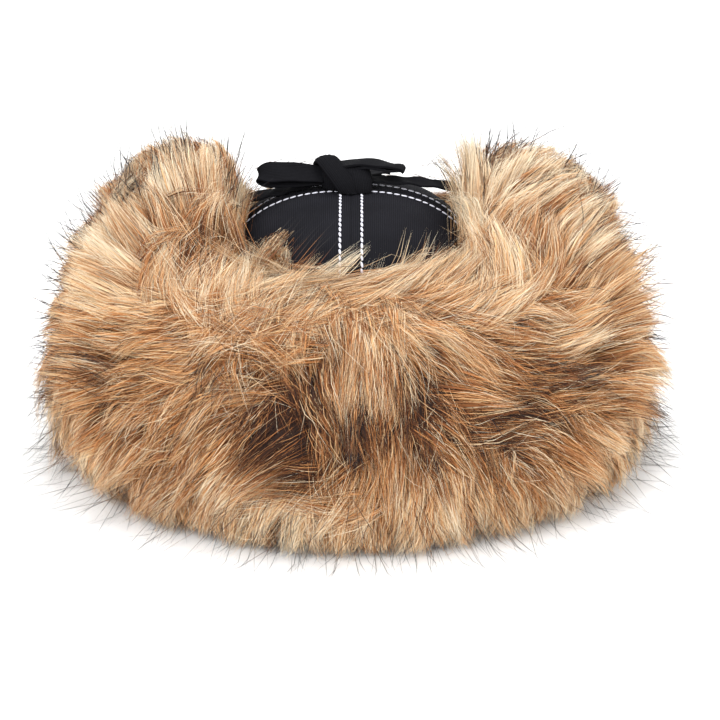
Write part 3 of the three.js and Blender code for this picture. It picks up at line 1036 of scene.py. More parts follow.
@dataclass
class FlapCloth:
    """The twill of one flap: a strip sewn to the crown's rim and folded up against it."""

    flap: Flap
    head: HeadForm
    clearance: float = 0.8 * MM
    thickness: float = 1.8 * MM
    ripple: float = 0.25 * MM
    columns: int = 60
    rows: int = 26
    rests: ClassVar[dict] = {
        Flap.FRONT: ("crown_front_left", "crown_front_right"),
        Flap.RIGHT_EAR: ("crown_front_right", "crown_back_right"),
        Flap.NECK: ("crown_back_left", "crown_back_right"),
        Flap.LEFT_EAR: ("crown_front_left", "crown_back_left"),
    }

    def build(self) -> None:
        azimuth = self.flap.azimuths(self.columns)[:, None]
        share = np.linspace(0, 1, self.rows)[None, :]
        top = section_value(azimuth, "cloth_top") - 0.5 * MM
        height = self.head.rim_height + (top - self.head.rim_height) * share
        places = self.head.on_flap(azimuth, height, self.clearance + self.thickness / 2)
        ripple = self.ripple * np.sin(azimuth * 0.6) * np.sin(share * 7)
        places[..., :2] += scaled(self.head.rim(azimuth * np.ones_like(share))[1], ripple)
        corners, name = quads(self.columns, self.rows), f"{self.flap.title}_twill"
        cloth = mesh_piece(name, places.reshape(-1, 3), corners.ravel(), np.full(len(corners), 4))
        make_cloth(cloth, self.thickness)
        hand_over(cloth, "twill", TWILL, f"{self.flap.title}_cloth")


def quads(columns: int, rows: int) -> np.ndarray:
    """Give the four corners of each cell of a grid that is stored column by column."""
    i, j = np.meshgrid(np.arange(columns - 1), np.arange(rows - 1), indexing="ij")
    a = (i * rows + j).ravel()
    return np.stack([a, a + rows, a + rows + 1, a + 1], -1)


# Bow

# A place on a ribbon's way in the air, in millimetres: x from where it enters the knot, y and the height over
# the crown's top. Its lean follows, in degrees.
RibbonRow = tuple[float, float, float, float]


def eased(values: np.ndarray, count: int) -> np.ndarray:
    """Give points evenly along a smooth curve through rows of numbers.

    Args:
        values: The rows.
        count: How many points.

    Returns:
        A row for each point.
    """
    at = np.linspace(0, len(values) - 1, count)
    low = np.clip(np.floor(at).astype(int), 0, len(values) - 2)
    t = (at - low)[:, None]
    padded = np.concatenate([[2 * values[0] - values[1]], values, [2 * values[-1] - values[-2]]])
    p0, p1, p2, p3 = (padded[low + k] for k in range(4))
    second, third = 2 * p0 - 5 * p1 + 4 * p2 - p3, 3 * p1 - p0 - 3 * p2 + p3
    return 0.5 * (2 * p1 + (p2 - p0) * t + second * t**2 + third * t**3)


@dataclass
class Bow:
    """The ribbon bow on the crossing of the seams, with its two ties and its two free ends."""

    head: HeadForm
    width: float = 13 * MM
    tie_width: float = 10 * MM
    thickness: float = 1.3 * MM
    lift: float = 0.5 * MM
    knot_left: float = -21 * MM
    knot_step: float = -3.2 * MM
    knot_right: float = 10 * MM
    knot_gap: float = 0.35 * MM
    left_fold: float = 0.34
    right_fold: float = 0
    fold_half: float = 0.055
    end_half: float = 0.2
    cup: float = 0.8 * MM
    ripple: float = 0.5 * MM
    steps: int = 90
    strips: int = 10
    loop_left: tuple[RibbonRow, ...] = (
        (6, -1, 8.2, 40), (-10, -1.6, 9.6, 42), (-20, -2.2, 9.8, 42), (-28, -2.2, 9.2, 40),
        (-30.5, -1, 7.6, 40), (-28, 0.4, 6, 40), (-20, 0.8, 5.6, 40), (-10, 1, 5.8, 38), (6, 1, 5.8, 36),
    )
    loop_right: tuple[RibbonRow, ...] = (
        (-6, 1, 12.8, -4), (8, 2, 14.8, -3), (17, 3, 14, -3), (26, 4, 12.2, -5), (30.6, 4, 11.6, -6),
        (32.5, 4, 9.9, -7), (30.4, 4, 8.4, -8), (26, 4, 8.8, -8), (18, 3, 10.6, -7), (8, 2, 11.6, -6),
        (-6, 1, 10.4, -6),
    )
    tie_left: tuple[RibbonRow, ...] = (
        (-43.05, 6, -10, 8), (-30.65, 6, -6.4, 8), (-16.65, 5, -2.4, 6), (-6.65, 4, 0.6, 4), (4, 4, 2.4, 0),
    )
    tie_right: tuple[RibbonRow, ...] = (
        (51.75, 7, -3, 8), (35.65, 6, 0, 8), (21.65, 5, 1.8, 6), (9.65, 4, 2.8, 4), (-4, 4, 3.4, 0),
    )
    end_left: tuple[tuple[float, float], ...] = ((-11, 8), (-12, 24), (-21, 46))
    end_right: tuple[tuple[float, float], ...] = ((4, 8), (6, 23), (17, 42))
    core_centre: Place = (-2.5, 0.5, 4.5)
    core_radii: Place = (14.5, 8.5, 9.5)
    core_power: float = 2.6
    core_rib: float = 0.22 * MM
    core_rib_pitch: float = 2.1 * MM
    wrap_power: float = 2.4
    wrap_rib: float = 0.10
    wrap_rib_pitch: float = 2.3
    wrap_thick: float = 1.9
    wrap_sag: float = 0.9
    wrap_sag_half: float = 6
    wrap_sides: int = 40
    wrap_steps: int = 44
    high_wrap: tuple[tuple[float, float, float, float], ...] = (
        (-17, 9, 4, 9), (-16.5, 6, 13, 11), (-14, 0, 17.2, 12), (-9, -5.5, 13, 13), (-3, -9.5, 6, 13),
        (2, -10, -1, 12),
    )
    low_wrap: tuple[tuple[float, float, float, float], ...] = (
        (1, 9, 1, 9), (3, 5, 9.5, 11), (4, -1, 11.5, 12), (5.5, -6.5, 8, 12), (6.5, -9.5, 2.5, 11),
        (6, -9.6, -2, 9),
    )

    def build(self) -> None:
        """Make the loops, the ties, the free ends and the knot."""
        left, step = self.knot_left - self.knot_gap, self.knot_step + self.knot_gap
        right = self.knot_right + self.knot_gap
        self._air_tape("bow_loop_left", left, self.loop_left, self.width, self.left_fold)
        self._air_tape("bow_loop_right", step, self.loop_right, self.width, self.right_fold)
        self._air_tape("tie_left", left, self.tie_left, self.tie_width, 0)
        self._air_tape("tie_right", right, self.tie_right, self.tie_width, 0)
        self._lying_tape("bow_end_left", self.end_left)
        self._lying_tape("bow_end_right", self.end_right)
        self._knot()

    def _tape(
        self, name: str, places: Callable[[Points, Points], Points], width: float, length: float
    ) -> None:
        """Make one tape as a subdivided strip that is bent to its way and thickened.

        Args:
            name: The CAD node that it stands for.
            places: Gives points for shares across, from -1 to 1, and along, from 0 to 1.
            width: The tape's width.
            length: The tape's length.
        """
        deselect()
        bpy.ops.mesh.primitive_grid_add(x_subdivisions=self.strips, y_subdivisions=self.steps, size=2)
        tape = bpy.context.object
        tape.name = "tape_" + name
        flat = vertices_of(tape)
        across, along = flat[:, 0], (flat[:, 1] + 1) / 2
        self._weave(tape, across * width / 2, along * length)
        move_vertices(tape, places(across, along))
        make_cloth(tape, self.thickness, angle=60)
        hand_over(tape, "ribbon", TAPE, name)

    def _air_tape(
        self, name: str, enter: float, rows: Sequence[RibbonRow], width: float, fold: float
    ) -> None:
        """Make a tape that hangs in the air, with a slight cup and soft ripples.

        Args:
            name: The CAD node that it stands for.
            enter: Where along X it enters the knot.
            rows: The places that its middle goes through.
            width: Its width.
            fold: The share of its width that a fold takes away at its middle.
        """
        curve = eased(np.array(rows) + np.array([enter / MM, 0, 0, 0]), 4 * self.steps)
        middle = MM * curve[:, :3] + np.array([0, 0, self.head.top])
        walked = walk(middle)
        length, step = float(walked[-1]), 0.4 * MM

        def places(across: Points, along: Points) -> Points:
            """Bend the flat tape to its way."""
            at = along * length
            way = unit(read(at + step, walked, middle) - read(at - step, walked, middle))
            lean = np.radians(np.interp(at, walked, curve[:, 3]))
            beside = np.stack([0 * lean, -np.cos(lean), -np.sin(lean)], -1)
            beside = unit(beside - way * (beside * way).sum(1, keepdims=True))
            swell = np.sin(math.pi * along)
            out = self.cup * across**2 * swell + self.ripple * np.sin(along * 23 + 2.2 * across) * swell
            narrow = 1 - fold * bell(along - 0.5, self.fold_half) - 0.5 * fold * bell(along, self.end_half)
            narrow -= 0.5 * fold * bell(1 - along, self.end_half)
            flat = read(at, walked, middle) + scaled(beside, across * narrow * width / 2)
            return flat + scaled(np.cross(way, beside), out)

        self._tape(name, places, width, length)

    def _lying_tape(self, name: str, route: Sequence[tuple[float, float]]) -> None:
        """Make a free end that lies back over the crown.

        Args:
            name: The CAD node that it stands for.
            route: Places in plan that it goes through, in millimetres.
        """
        way = eased(MM * np.array(route, float), 200)
        walked = walk(way)
        length, step = float(walked[-1]), 0.5 * MM

        def places(across: Points, along: Points) -> Points:
            """Lay the flat tape along its route."""
            at = along * length
            here = read(at, walked, way)
            go = unit(read(at + step, walked, way) - read(at - step, walked, way))
            x = here[:, 0] - go[:, 1] * across * self.width / 2
            y = here[:, 1] + go[:, 0] * across * self.width / 2
            wave = self.ripple * (1 + np.sin(along * 9 + across)) * np.sin(math.pi * along)
            return np.stack([x, y, self.head.over(x, y, self.lift + self.thickness / 2) + wave], -1)

        self._tape(name, places, self.width, length)

    def _knot(self) -> None:
        """Make the knot: a core, a wrap that climbs over the left loop and one that closes the right side."""
        core = self._pillow(self.core_centre, self.core_radii)
        wraps = [self._wrap(self.high_wrap, (1, 0.35, 0.1)), self._wrap(self.low_wrap, (1, 0.1, -0.25))]
        pick(core)
        for wrap in wraps:
            wrap.select_set(True)
        bpy.ops.object.join()
        core.name = "tape_bow_knot"
        hand_over(core, "ribbon", TAPE, "bow_knot")

    def _weave(self, piece: Piece, across: Points, along: Points) -> None:
        """Write each vertex's place on the tape, for the ribs."""
        attribute = piece.data.attributes.new("tape", "FLOAT_VECTOR", "POINT")
        places = np.stack([across, along, 0 * across], -1)
        attribute.data.foreach_set("vector", places.astype(np.float32).ravel())

    def _pillow(self, centre: Place, radii: Place) -> Piece:
        """Make the rounded core of the knot.

        Args:
            centre: Its middle in millimetres over the crown's top.
            radii: Half its sizes in millimetres.

        Returns:
            The core.
        """
        deselect()
        bpy.ops.mesh.primitive_uv_sphere_add(segments=48, ring_count=32, radius=1)
        pillow = bpy.context.object
        ball = vertices_of(pillow)
        squared = (np.abs(ball) ** self.core_power).sum(1, keepdims=True) ** (1 / self.core_power)
        places = MM * (np.array(centre) + ball / squared * np.array(radii)) + np.array([0, 0, self.head.top])
        ribs = self.core_rib * np.sin(places[:, 0] * math.tau / self.core_rib_pitch)
        places[:, 2] = np.maximum(places[:, 2] + ribs, self.head.over(places[:, 0], places[:, 1], self.lift))
        move_vertices(pillow, places)
        self._weave(pillow, places[:, 0], places[:, 1] + places[:, 2])
        smooth(pillow, 80)
        return pillow

    def _wrap(self, way: Sequence[Sequence[float]], beside: Place) -> Piece:
        """Make one wrap of the knot, a gathered tape that is swept along a way.

        Args:
            way: Places in millimetres over the crown's top, each with the tape's width there.
            beside: The direction in which the tape's width lies.

        Returns:
            The wrap, closed at both ends.
        """
        deselect()
        bpy.ops.mesh.primitive_cylinder_add(vertices=self.wrap_sides, depth=2, end_fill_type="NGON")
        wrap = bpy.context.object
        edit(wrap)
        for cut in np.linspace(-1, 1, self.wrap_steps + 1)[1:-1]:
            bpy.ops.mesh.select_all(action="SELECT")
            bpy.ops.mesh.bisect(plane_co=(0, 0, cut), plane_no=(0, 0, 1))
        leave_edit()
        rod, power = vertices_of(wrap), self.wrap_power
        curve = eased(np.array(way, float), 200)
        share, index = (rod[:, 2] + 1) / 2 * (len(curve) - 1), np.arange(len(curve))
        middle, width = read(share, index, curve[:, :3]), np.interp(share, index, curve[:, 3])
        go = unit(read(share, index, np.gradient(curve[:, :3], axis=0)))
        side = unit(np.array(beside) - go * (go @ np.array(beside))[:, None])
        turn = np.arctan2(rod[:, 1], rod[:, 0])
        squared = (np.abs(np.cos(turn)) ** power + np.abs(np.sin(turn)) ** power) ** (-1 / power)
        across = squared * np.cos(turn) * width / 2
        ribs = 1 + self.wrap_rib * np.sin(across * math.tau / self.wrap_rib_pitch)
        sag = self.wrap_sag * (across / self.wrap_sag_half) ** 2
        thick = self.wrap_thick * squared * np.sin(turn) * ribs + sag
        places = MM * (middle + scaled(side, across) + scaled(np.cross(side, go), thick))
        places[:, 2] += self.head.top
        places[:, 2] = np.maximum(places[:, 2], self.head.over(places[:, 0], places[:, 1], self.lift))
        move_vertices(wrap, places)
        self._weave(wrap, MM * across, MM * share * 0.15)
        edit(wrap)
        bpy.ops.mesh.normals_make_consistent(inside=False)
        leave_edit()
        smooth(wrap, 80)
        return wrap


# Fur


@dataclass(frozen=True)
class PhotoView:
    """The photograph's camera, and where things stand in its picture of 720 by 720 pixels."""

    elevation: float = 22
    distance: float = 1.8
    lens: float = 156.5
    sensor: float = 36
    target: Place = (0.005, 0.0, 0.0504)
    width: float = 720

    @property
    def back(self) -> Points:
        """The direction from the cap to the camera."""
        tilt = math.radians(self.elevation)
        return np.array([0, -math.cos(tilt), math.sin(tilt)])

    @property
    def place(self) -> Points:
        """The camera's place."""
        return np.array(self.target) + self.back * self.distance

    def flat(self, ways: Points) -> Points:
        """Give directions as they look in the picture, to the right and up."""
        back = self.back
        return np.stack([ways[..., 0], ways @ np.array([0, back[2], -back[1]])], -1)

    @cached_property
    def pile_pixels(self) -> Points:
        """The pixels of the pile's table of places, far off for those that face away."""
        hidden = (PILE.out @ self.back < 0.03) | (PILE.outer[..., 1] > 0.06)
        return self.pixels(PILE.outer) + 1e4 * hidden[..., None]

    def moved(self, right: float, down: float, away: float) -> Points:
        """Give the step for a move in the picture by pixels at the cap, and away from the camera."""
        size = self.distance * self.sensor / self.lens / self.width
        back = self.back
        return np.array([right * size, 0, 0]) - down * size * np.array([0, back[2], -back[1]]) - away * back

    def pixels(self, points: Points) -> Points:
        """Give points' pixels in the picture."""
        gone = points - self.place
        scale = self.lens / self.sensor * self.width / -(gone @ self.back)
        return self.width / 2 + self.flat(gone) * scale[..., None] * np.array([1, -1])

    def find(self, x: float, y: float) -> tuple[float, float]:
        """Find the place on the pile that shows at a pixel.

        Args:
            x: Pixels from the picture's left edge.
            y: Pixels from its top edge.

        Returns:
            The place's azimuth in degrees and its share.
        """
        seen = self.pile_pixels - np.array([x, y])
        row, column = np.unravel_index(np.argmin((seen**2).sum(-1)), seen.shape[:2])
        return float(PILE.degrees[row]), column / PILE.steps - PILE.over_share


VIEW = PhotoView()


@dataclass(frozen=True)
class Flow:
    """A run of hair in the picture: its pixel, the way it points (0 right, 90 up) and its reach in mm."""

    x: float
    y: float
    way: float
    reach: float = 13


@dataclass(frozen=True)
class Spot:
    """A place in the picture round which something changes by an amount, within a reach in mm."""

    x: float
    y: float
    reach: float
    amount: float


@dataclass(frozen=True)
class Peak:
    """A tuft that stands out: the pixels of its middle and tip, and its lean away and its reach in mm."""

    x: float
    y: float
    tip_x: float
    tip_y: float
    lean: float
    reach: float


# The way the hair runs, part by part, as pixels and directions.
RUNS = {
    "crest, left, up and over the crown": (
        (218, 296, 84), (228, 280, 78), (240, 292, 66), (252, 270, 60), (277, 262, 56), (300, 268, 55),
        (316, 258, 55), (262, 292, 50), (288, 300, 34), (306, 292, 24),
    ),
    "crest, middle and right": (
        (326, 285, 18), (353, 282, 13), (384, 276, 24), (414, 270, 34), (436, 256, 42), (446, 280, 48),
        (466, 282, 50), (373, 297, 8), (404, 300, 10), (436, 300, 20), (343, 310, 18), (462, 300, 30),
    ),
    "upper tier, left": (
        (282, 340, 202), (258, 338, 198), (262, 350, 208), (231, 343, 200), (220, 354, 216),
        (208, 375, 246), (206, 392, 252), (186, 366, 204), (165, 338, 190), (142, 337, 187),
        (153, 359, 186), (120, 341, 188), (97, 363, 178), (75, 343, 178), (60, 356, 168), (210, 330, 190),
        (130, 386, 196), (304, 332, 190),
    ),
    "centre tuft": (
        (331, 330, -72), (339, 352, -84), (339, 373, -92), (328, 393, -112), (359, 352, -80),
        (359, 373, -84), (356, 400, -96), (355, 425, -94), (380, 352, -78), (384, 375, -78),
        (394, 403, -82), (404, 342, -64), (414, 373, -72), (416, 403, -80), (375, 425, -88),
        (354, 450, -90), (395, 425, -86),
    ),
    "upper tier, right": (
        (435, 352, -50), (455, 373, -48), (486, 373, -45), (495, 385, -42), (440, 380, -60),
        (430, 400, -72), (455, 342, -25), (496, 344, -15), (506, 363, -28), (486, 322, 2), (445, 322, 6),
        (517, 379, -24), (529, 357, -16), (562, 360, -9), (551, 337, -7), (596, 337, -2), (640, 341, -6),
        (484, 312, 12), (529, 314, 6), (573, 323, -2), (551, 306, 12), (618, 312, 0), (648, 319, 0),
        (573, 374, 8), (607, 370, 4),
    ),
    "right lobe": (
        (450, 172, 114), (446, 156, 102), (458, 146, 94), (472, 150, 88), (466, 190, 124), (484, 207, 130),
        (482, 172, 100), (475, 226, 120), (488, 238, 125), (506, 256, 128), (506, 218, 134),
        (529, 228, 138), (520, 246, 130), (502, 168, 48), (518, 156, 32), (540, 160, 10), (562, 174, 2),
        (584, 184, -4), (551, 190, 18), (529, 180, 16), (573, 207, 74), (573, 228, 80), (562, 245, 80),
        (596, 225, 68), (607, 212, 58), (628, 225, 40), (517, 283, 45), (540, 267, 48), (498, 300, 36),
        (562, 279, 24), (584, 267, 34), (607, 252, 44), (618, 272, 28), (640, 268, 24), (596, 296, 8),
        (629, 290, 12), (648, 290, 14),
    ),
    "left lobe": (
        (176, 146, 108), (165, 158, 112), (145, 176, 120), (154, 192, 116), (210, 158, 95), (243, 168, 62),
        (262, 156, 48), (112, 198, 138), (100, 214, 148), (120, 226, 144), (143, 234, 148), (90, 240, 150),
        (78, 258, 158), (109, 261, 160), (132, 274, 166), (88, 290, 172), (66, 282, 168), (109, 301, 178),
        (143, 301, 177), (76, 312, 178), (62, 325, 180), (109, 323, 184), (160, 314, 192), (172, 275, 114),
        (170, 252, 84), (192, 242, 10), (216, 250, 6), (212, 268, 80), (228, 262, 60), (210, 294, 90),
        (240, 240, 60), (187, 213, 190), (205, 225, 30), (222, 205, 100),
    ),
    "dark swirl": (
        (253, 370, 34), (272, 368, 8), (290, 378, -14), (309, 402, -52), (318, 430, -64), (328, 452, -72),
        (336, 474, -76), (275, 400, -24), (290, 420, -46), (256, 412, 30), (246, 395, 60), (262, 432, -10),
        (300, 445, -58),
    ),
    "lower left": (
        (204, 405, 250), (190, 428, 226), (170, 420, 216), (222, 446, 236), (202, 475, 240),
        (186, 495, 234), (90, 400, 186), (108, 426, 214), (82, 436, 208), (97, 455, 216), (142, 455, 228),
        (137, 490, 230), (164, 504, 244), (240, 470, 226), (150, 405, 206),
    ),
    "light arcs and lower edge": (
        (275, 476, 164), (300, 478, 156), (320, 492, 146), (309, 502, 150), (290, 496, 162),
        (264, 497, 176), (236, 504, 194), (275, 522, -94), (242, 522, 252), (316, 522, -86),
        (210, 514, 240), (342, 500, -84), (360, 500, -92),
    ),
    "lower right": (
        (551, 394, 10), (584, 397, 4), (618, 400, -10), (640, 396, -14), (648, 412, -30), (540, 412, 28),
        (510, 424, 28), (540, 428, 6), (562, 436, -24), (584, 455, -36), (607, 437, -30), (618, 455, -40),
        (551, 455, -36), (573, 473, -45), (506, 452, -28), (484, 464, -45), (517, 486, -50),
        (540, 500, -54), (484, 497, -68), (450, 486, -76), (417, 486, -86), (395, 509, -92),
        (372, 520, -98), (439, 516, -80), (473, 512, -70), (450, 420, -58), (465, 440, -34),
        (425, 440, -78), (590, 480, -44), (383, 450, -88),
    ),
}
LIFTS = tuple(Spot(*row) for row in (
    (458, 165, 18, 10), (170, 150, 16, 8), (250, 170, 12, 8), (562, 165, 14, 6), (610, 210, 16, 8),
    (60, 330, 22, 8), (655, 330, 24, 8),
))

PEAKS = tuple(Peak(*row) for row in (
    (466, 202, 440, 184, 8, 10), (466, 184, 424, 160, 22, 10), (468, 168, 430, 136, 32, 11),
    (473, 158, 452, 122, 30, 11), (481, 154, 474, 122, 22, 10), (484, 232, 458, 204, 3, 8),
    (492, 250, 466, 224, 4, 8), (500, 266, 476, 240, 5, 8), (512, 164, 512, 146, 3, 9),
    (530, 158, 542, 136, 4, 11), (552, 164, 572, 148, 2, 10), (574, 182, 598, 172, 0, 9),
    (592, 198, 622, 190, 0, 9), (604, 230, 632, 212, 0, 9), (612, 256, 652, 230, 0, 11),
    (620, 286, 672, 256, 0, 13), (628, 308, 668, 292, 0, 10), (628, 332, 680, 318, 0, 13),
    (635, 356, 672, 354, 0, 11), (630, 384, 684, 384, 0, 13), (624, 404, 664, 418, 0, 11),
    (606, 434, 646, 456, 0, 11), (580, 460, 612, 486, 0, 11), (552, 480, 576, 508, 0, 10),
    (166, 160, 155, 128, 5, 10), (184, 154, 184, 126, 6, 11), (204, 154, 212, 134, 5, 9),
    (222, 162, 226, 148, 2, 7), (256, 184, 288, 142, 24, 10), (250, 172, 268, 144, 18, 8),
    (256, 204, 280, 174, 4, 8), (148, 190, 138, 168, 0, 9), (118, 216, 94, 180, 0, 11),
    (104, 246, 74, 222, 0, 10), (96, 276, 52, 244, 0, 13), (88, 300, 54, 288, 0, 10),
    (84, 326, 38, 312, 0, 13), (80, 352, 40, 352, 0, 10), (76, 380, 24, 372, 0, 13),
    (82, 406, 44, 418, 0, 11), (97, 436, 62, 456, 0, 11), (122, 466, 92, 494, 0, 11),
    (152, 490, 130, 518, 0, 10), (232, 284, 250, 254, 6, 5), (250, 286, 272, 254, 6, 5),
    (268, 287, 294, 256, 6, 5), (292, 289, 322, 254, 6, 6), (318, 291, 346, 272, 5, 5),
    (346, 290, 384, 268, 7, 8), (372, 290, 412, 264, 8, 8), (398, 290, 436, 258, 10, 8),
    (416, 286, 450, 248, 14, 8), (434, 284, 466, 240, 14, 8), (450, 282, 478, 238, 12, 8),
    (464, 284, 488, 250, 8, 7), (352, 400, 350, 430, -2, 7), (335, 385, 323, 403, -2, 6),
    (392, 395, 397, 418, -2, 8), (418, 392, 420, 412, -2, 6), (455, 372, 468, 390, -2, 7),
    (488, 374, 502, 391, -2, 7), (512, 378, 532, 389, -2, 7), (214, 384, 203, 404, -2, 7),
    (192, 425, 179, 441, -2, 8), (360, 495, 362, 516, -2, 8), (440, 492, 444, 514, -2, 9),
    (290, 480, 262, 495, -2, 7), (322, 484, 298, 498, -2, 7),
))

# Places where the coat is darker or lighter: partly the fur's own colour, and partly painted shade in the
# hollows and valleys between tufts, with painted light on the tufts that stand out.
SHADE_AND_TONE_SPOTS = tuple(Spot(*row) for row in (
    (205, 206, 26, -0.55), (238, 186, 11, -0.34), (220, 160, 10, -0.14), (181, 261, 4, -0.50),
    (197, 312, 13, -0.20), (238, 330, 15, -0.26), (290, 322, 12, -0.16), (343, 319, 12, -0.26),
    (384, 323, 14, -0.30), (418, 331, 11, -0.26), (470, 330, 10, -0.16), (500, 346, 11, -0.12),
    (288, 386, 20, -0.24), (266, 420, 18, -0.16), (316, 440, 13, -0.26), (213, 450, 11, -0.34),
    (238, 474, 11, -0.30), (302, 464, 14, -0.60), (270, 462, 26, -0.13), (465, 300, 24, -0.09),
    (370, 292, 26, -0.05), (572, 405, 26, -0.08), (196, 196, 18, -0.10), (450, 410, 22, -0.05),
    (260, 464, 12, -0.10), (186, 395, 16, -0.18), (155, 465, 12, -0.12), (332, 502, 10, -0.36),
    (355, 460, 12, -0.28), (326, 420, 8, -0.20), (420, 428, 15, -0.48), (456, 402, 12, -0.30),
    (428, 464, 12, -0.40), (394, 472, 11, -0.26), (540, 384, 16, -0.16), (580, 392, 18, -0.26),
    (558, 406, 7, -0.34), (520, 442, 15, -0.34), (480, 432, 14, -0.34), (500, 482, 20, -0.18),
    (235, 455, 16, -0.06), (98, 440, 16, -0.08), (560, 235, 26, -0.08), (455, 290, 22, -0.05),
    (265, 350, 18, -0.06), (420, 400, 10, -0.06), (280, 520, 20, 0.12), (470, 530, 20, 0.06),
    (120, 250, 22, 0.07), (500, 480, 20, -0.08), (565, 440, 14, -0.10), (540, 420, 26, -0.06),
    (360, 450, 34, -0.06), (400, 285, 34, -0.05), (540, 240, 40, -0.05), (495, 181, 7, -0.48),
    (529, 198, 11, -0.30), (551, 222, 10, -0.20), (95, 396, 14, -0.24), (150, 380, 16, -0.12),
    (395, 398, 11, 0.16), (358, 392, 8, 0.18), (300, 294, 13, 0.06), (520, 283, 12, 0.08),
    (300, 494, 9, 0.26), (285, 522, 16, 0.16), (100, 280, 26, 0.05),
))

GINGERS = tuple(Spot(*row) for row in (
    (215, 200, 22, 0.35), (529, 200, 12, 0.25), (95, 396, 18, 0.55), (150, 376, 20, 0.45),
    (540, 380, 18, 0.55), (590, 398, 22, 0.55), (500, 372, 14, 0.45), (280, 400, 26, 0.35),
    (330, 480, 16, 0.35), (360, 440, 16, 0.25),
))

HOLLOWS = tuple(Spot(*row) for row in (
    (290, 404, 16, 9), (214, 456, 8, 6), (302, 466, 10, 7), (430, 432, 14, 8), (472, 408, 9, 5),
    (558, 406, 6, 5), (495, 180, 8, 9), (530, 200, 8, 4), (600, 180, 18, 4), (215, 140, 12, 3),
    (150, 150, 12, 3), (104, 180, 14, 3), (238, 160, 10, 9), (128, 206, 8, 8), (600, 205, 8, 3),
    (498, 165, 9, 6), (384, 326, 13, 4), (181, 261, 4, 6), (200, 214, 12, 4), (370, 384, 18, -5),
    (480, 366, 14, -4), (300, 292, 14, -3), (292, 492, 8, -5), (214, 366, 10, -3),
))

GUARDS = tuple(Spot(*row) for row in (
    (50, 368, 15, 0.75), (88, 376, 13, 0.20), (135, 376, 13, 0.20), (200, 402, 12, 0.22),
    (160, 152, 9, 0.60), (104, 188, 9, 0.40), (600, 192, 10, 0.70), (644, 252, 10, 0.50),
    (575, 372, 13, 0.22), (648, 412, 12, 0.40), (604, 475, 12, 0.25), (354, 446, 6, 0.40),
    (428, 448, 10, 0.30), (560, 404, 8, 0.22), (270, 540, 16, 0.30), (290, 272, 14, 0.07),
    (440, 268, 14, 0.08),
))

MESSES = tuple(Spot(*row) for row in (
    (203, 205, 22, 6), (205, 312, 15, 4), (245, 325, 16, 4), (384, 322, 22, 3), (150, 462, 16, 5),
    (265, 425, 14, 3), (300, 462, 10, 3), (529, 200, 12, 3), (480, 445, 18, 2),
))


@dataclass(frozen=True)
class Strand:
    """Long dark hairs across the coat: the pixels of their roots and tips, their spread and their number."""

    x: float
    y: float
    tip_x: float
    tip_y: float
    spread: float
    count: int


STRANDS = tuple(Strand(*row) for row in (
    (76, 366, 46, 350, 7, 30), (74, 388, 46, 392, 6, 20), (636, 402, 662, 418, 6, 26),
    (634, 262, 658, 244, 6, 16), (592, 204, 610, 188, 4, 20), (112, 212, 98, 192, 4, 14),
    (152, 404, 66, 360, 10, 34), (120, 424, 44, 378, 9, 20), (150, 372, 80, 350, 8, 16),
    (200, 418, 214, 372, 6, 14), (518, 392, 598, 369, 5, 26), (560, 374, 642, 374, 6, 16),
    (600, 384, 658, 408, 6, 14), (352, 408, 355, 468, 3, 18), (420, 412, 434, 466, 6, 14),
    (462, 380, 500, 430, 7, 12), (255, 345, 215, 400, 7, 12), (232, 296, 306, 222, 6, 12),
    (268, 296, 334, 236, 6, 12), (404, 296, 462, 236, 6, 12), (436, 292, 478, 232, 6, 10),
))


def mirrored(found: Points) -> tuple[Points, Points]:
    """Give the azimuths and shares of places in front, and then of the like of them behind."""
    return np.concatenate([found[:, 0], 180 - found[:, 0]]), np.tile(found[:, 1], 2)


def on_tops(found: Points, degrees: float, share: float) -> np.ndarray:
    """Tell which places are on the ear flaps' tops, by the reach of those round the cap and down the pile."""
    return (np.abs(np.abs(found[:, 0]) - 90) < degrees) & (found[:, 1] < share)


def from_middle(azimuth: Points) -> Points:
    """Give the degrees from the front's or the back's middle, whichever is nearer."""
    return np.abs((azimuth + 90) % 180 - 90)


class SpotField:
    """What a table of spots adds up to at any place; the back of the cap takes after the front."""

    def __init__(self, spots: Sequence[Spot]) -> None:
        """Find the spots' places on the pile."""
        found = np.array([VIEW.find(spot.x, spot.y) for spot in spots])
        self.middles = PILE.at(PILE.outer, found[:, 0], found[:, 1])
        self.reach = MM * np.array([spot.reach for spot in spots])
        self.amounts = [spot.amount for spot in spots]

    def at(self, places: Points) -> Points:
        """Add up the spots at places."""
        folded = places * np.where(places[:, 1:2] > 0, [1, -1, 1], [1, 1, 1])
        total = np.zeros(len(places))
        for middle, reach, amount in zip(self.middles, self.reach, self.amounts):
            total += amount * np.exp(-(((folded - middle) ** 2).sum(1) / reach**2))
        return total


def spun(way: Points, axis: Points, degrees: Points) -> Points:
    """Turn directions about axes that are square to them."""
    turn = np.radians(degrees)
    return scaled(way, np.cos(turn)) + scaled(np.cross(axis, way), np.sin(turn))


def scatter(
    rng: np.random.Generator, count: int, low: float, high: float, thin: float
) -> tuple[Points, Points]:
    """Pick places evenly over the pile.

    Args:
        rng: The source of chance.
        count: How many places.
        low: The least azimuth.
        high: The greatest azimuth.
        thin: How dense the places over the crown are, beside those on the pile.

    Returns:
        Their azimuths and their shares.
    """
    azimuth = rng.uniform(low, high, 8 * count)
    share = rng.uniform(-PILE.over_share, 1, 8 * count)
    area = PILE.at(PILE.wide, azimuth, share) * PILE.at(PILE.tall, azimuth, share)
    over = np.clip(1 + share / PILE.over_share, 0, 1) ** 2
    area *= np.where(share < 0, thin * over, 1)
    keep = rng.uniform(0, np.quantile(area, 0.99), len(area)) < area
    return azimuth[keep][:count], share[keep][:count]


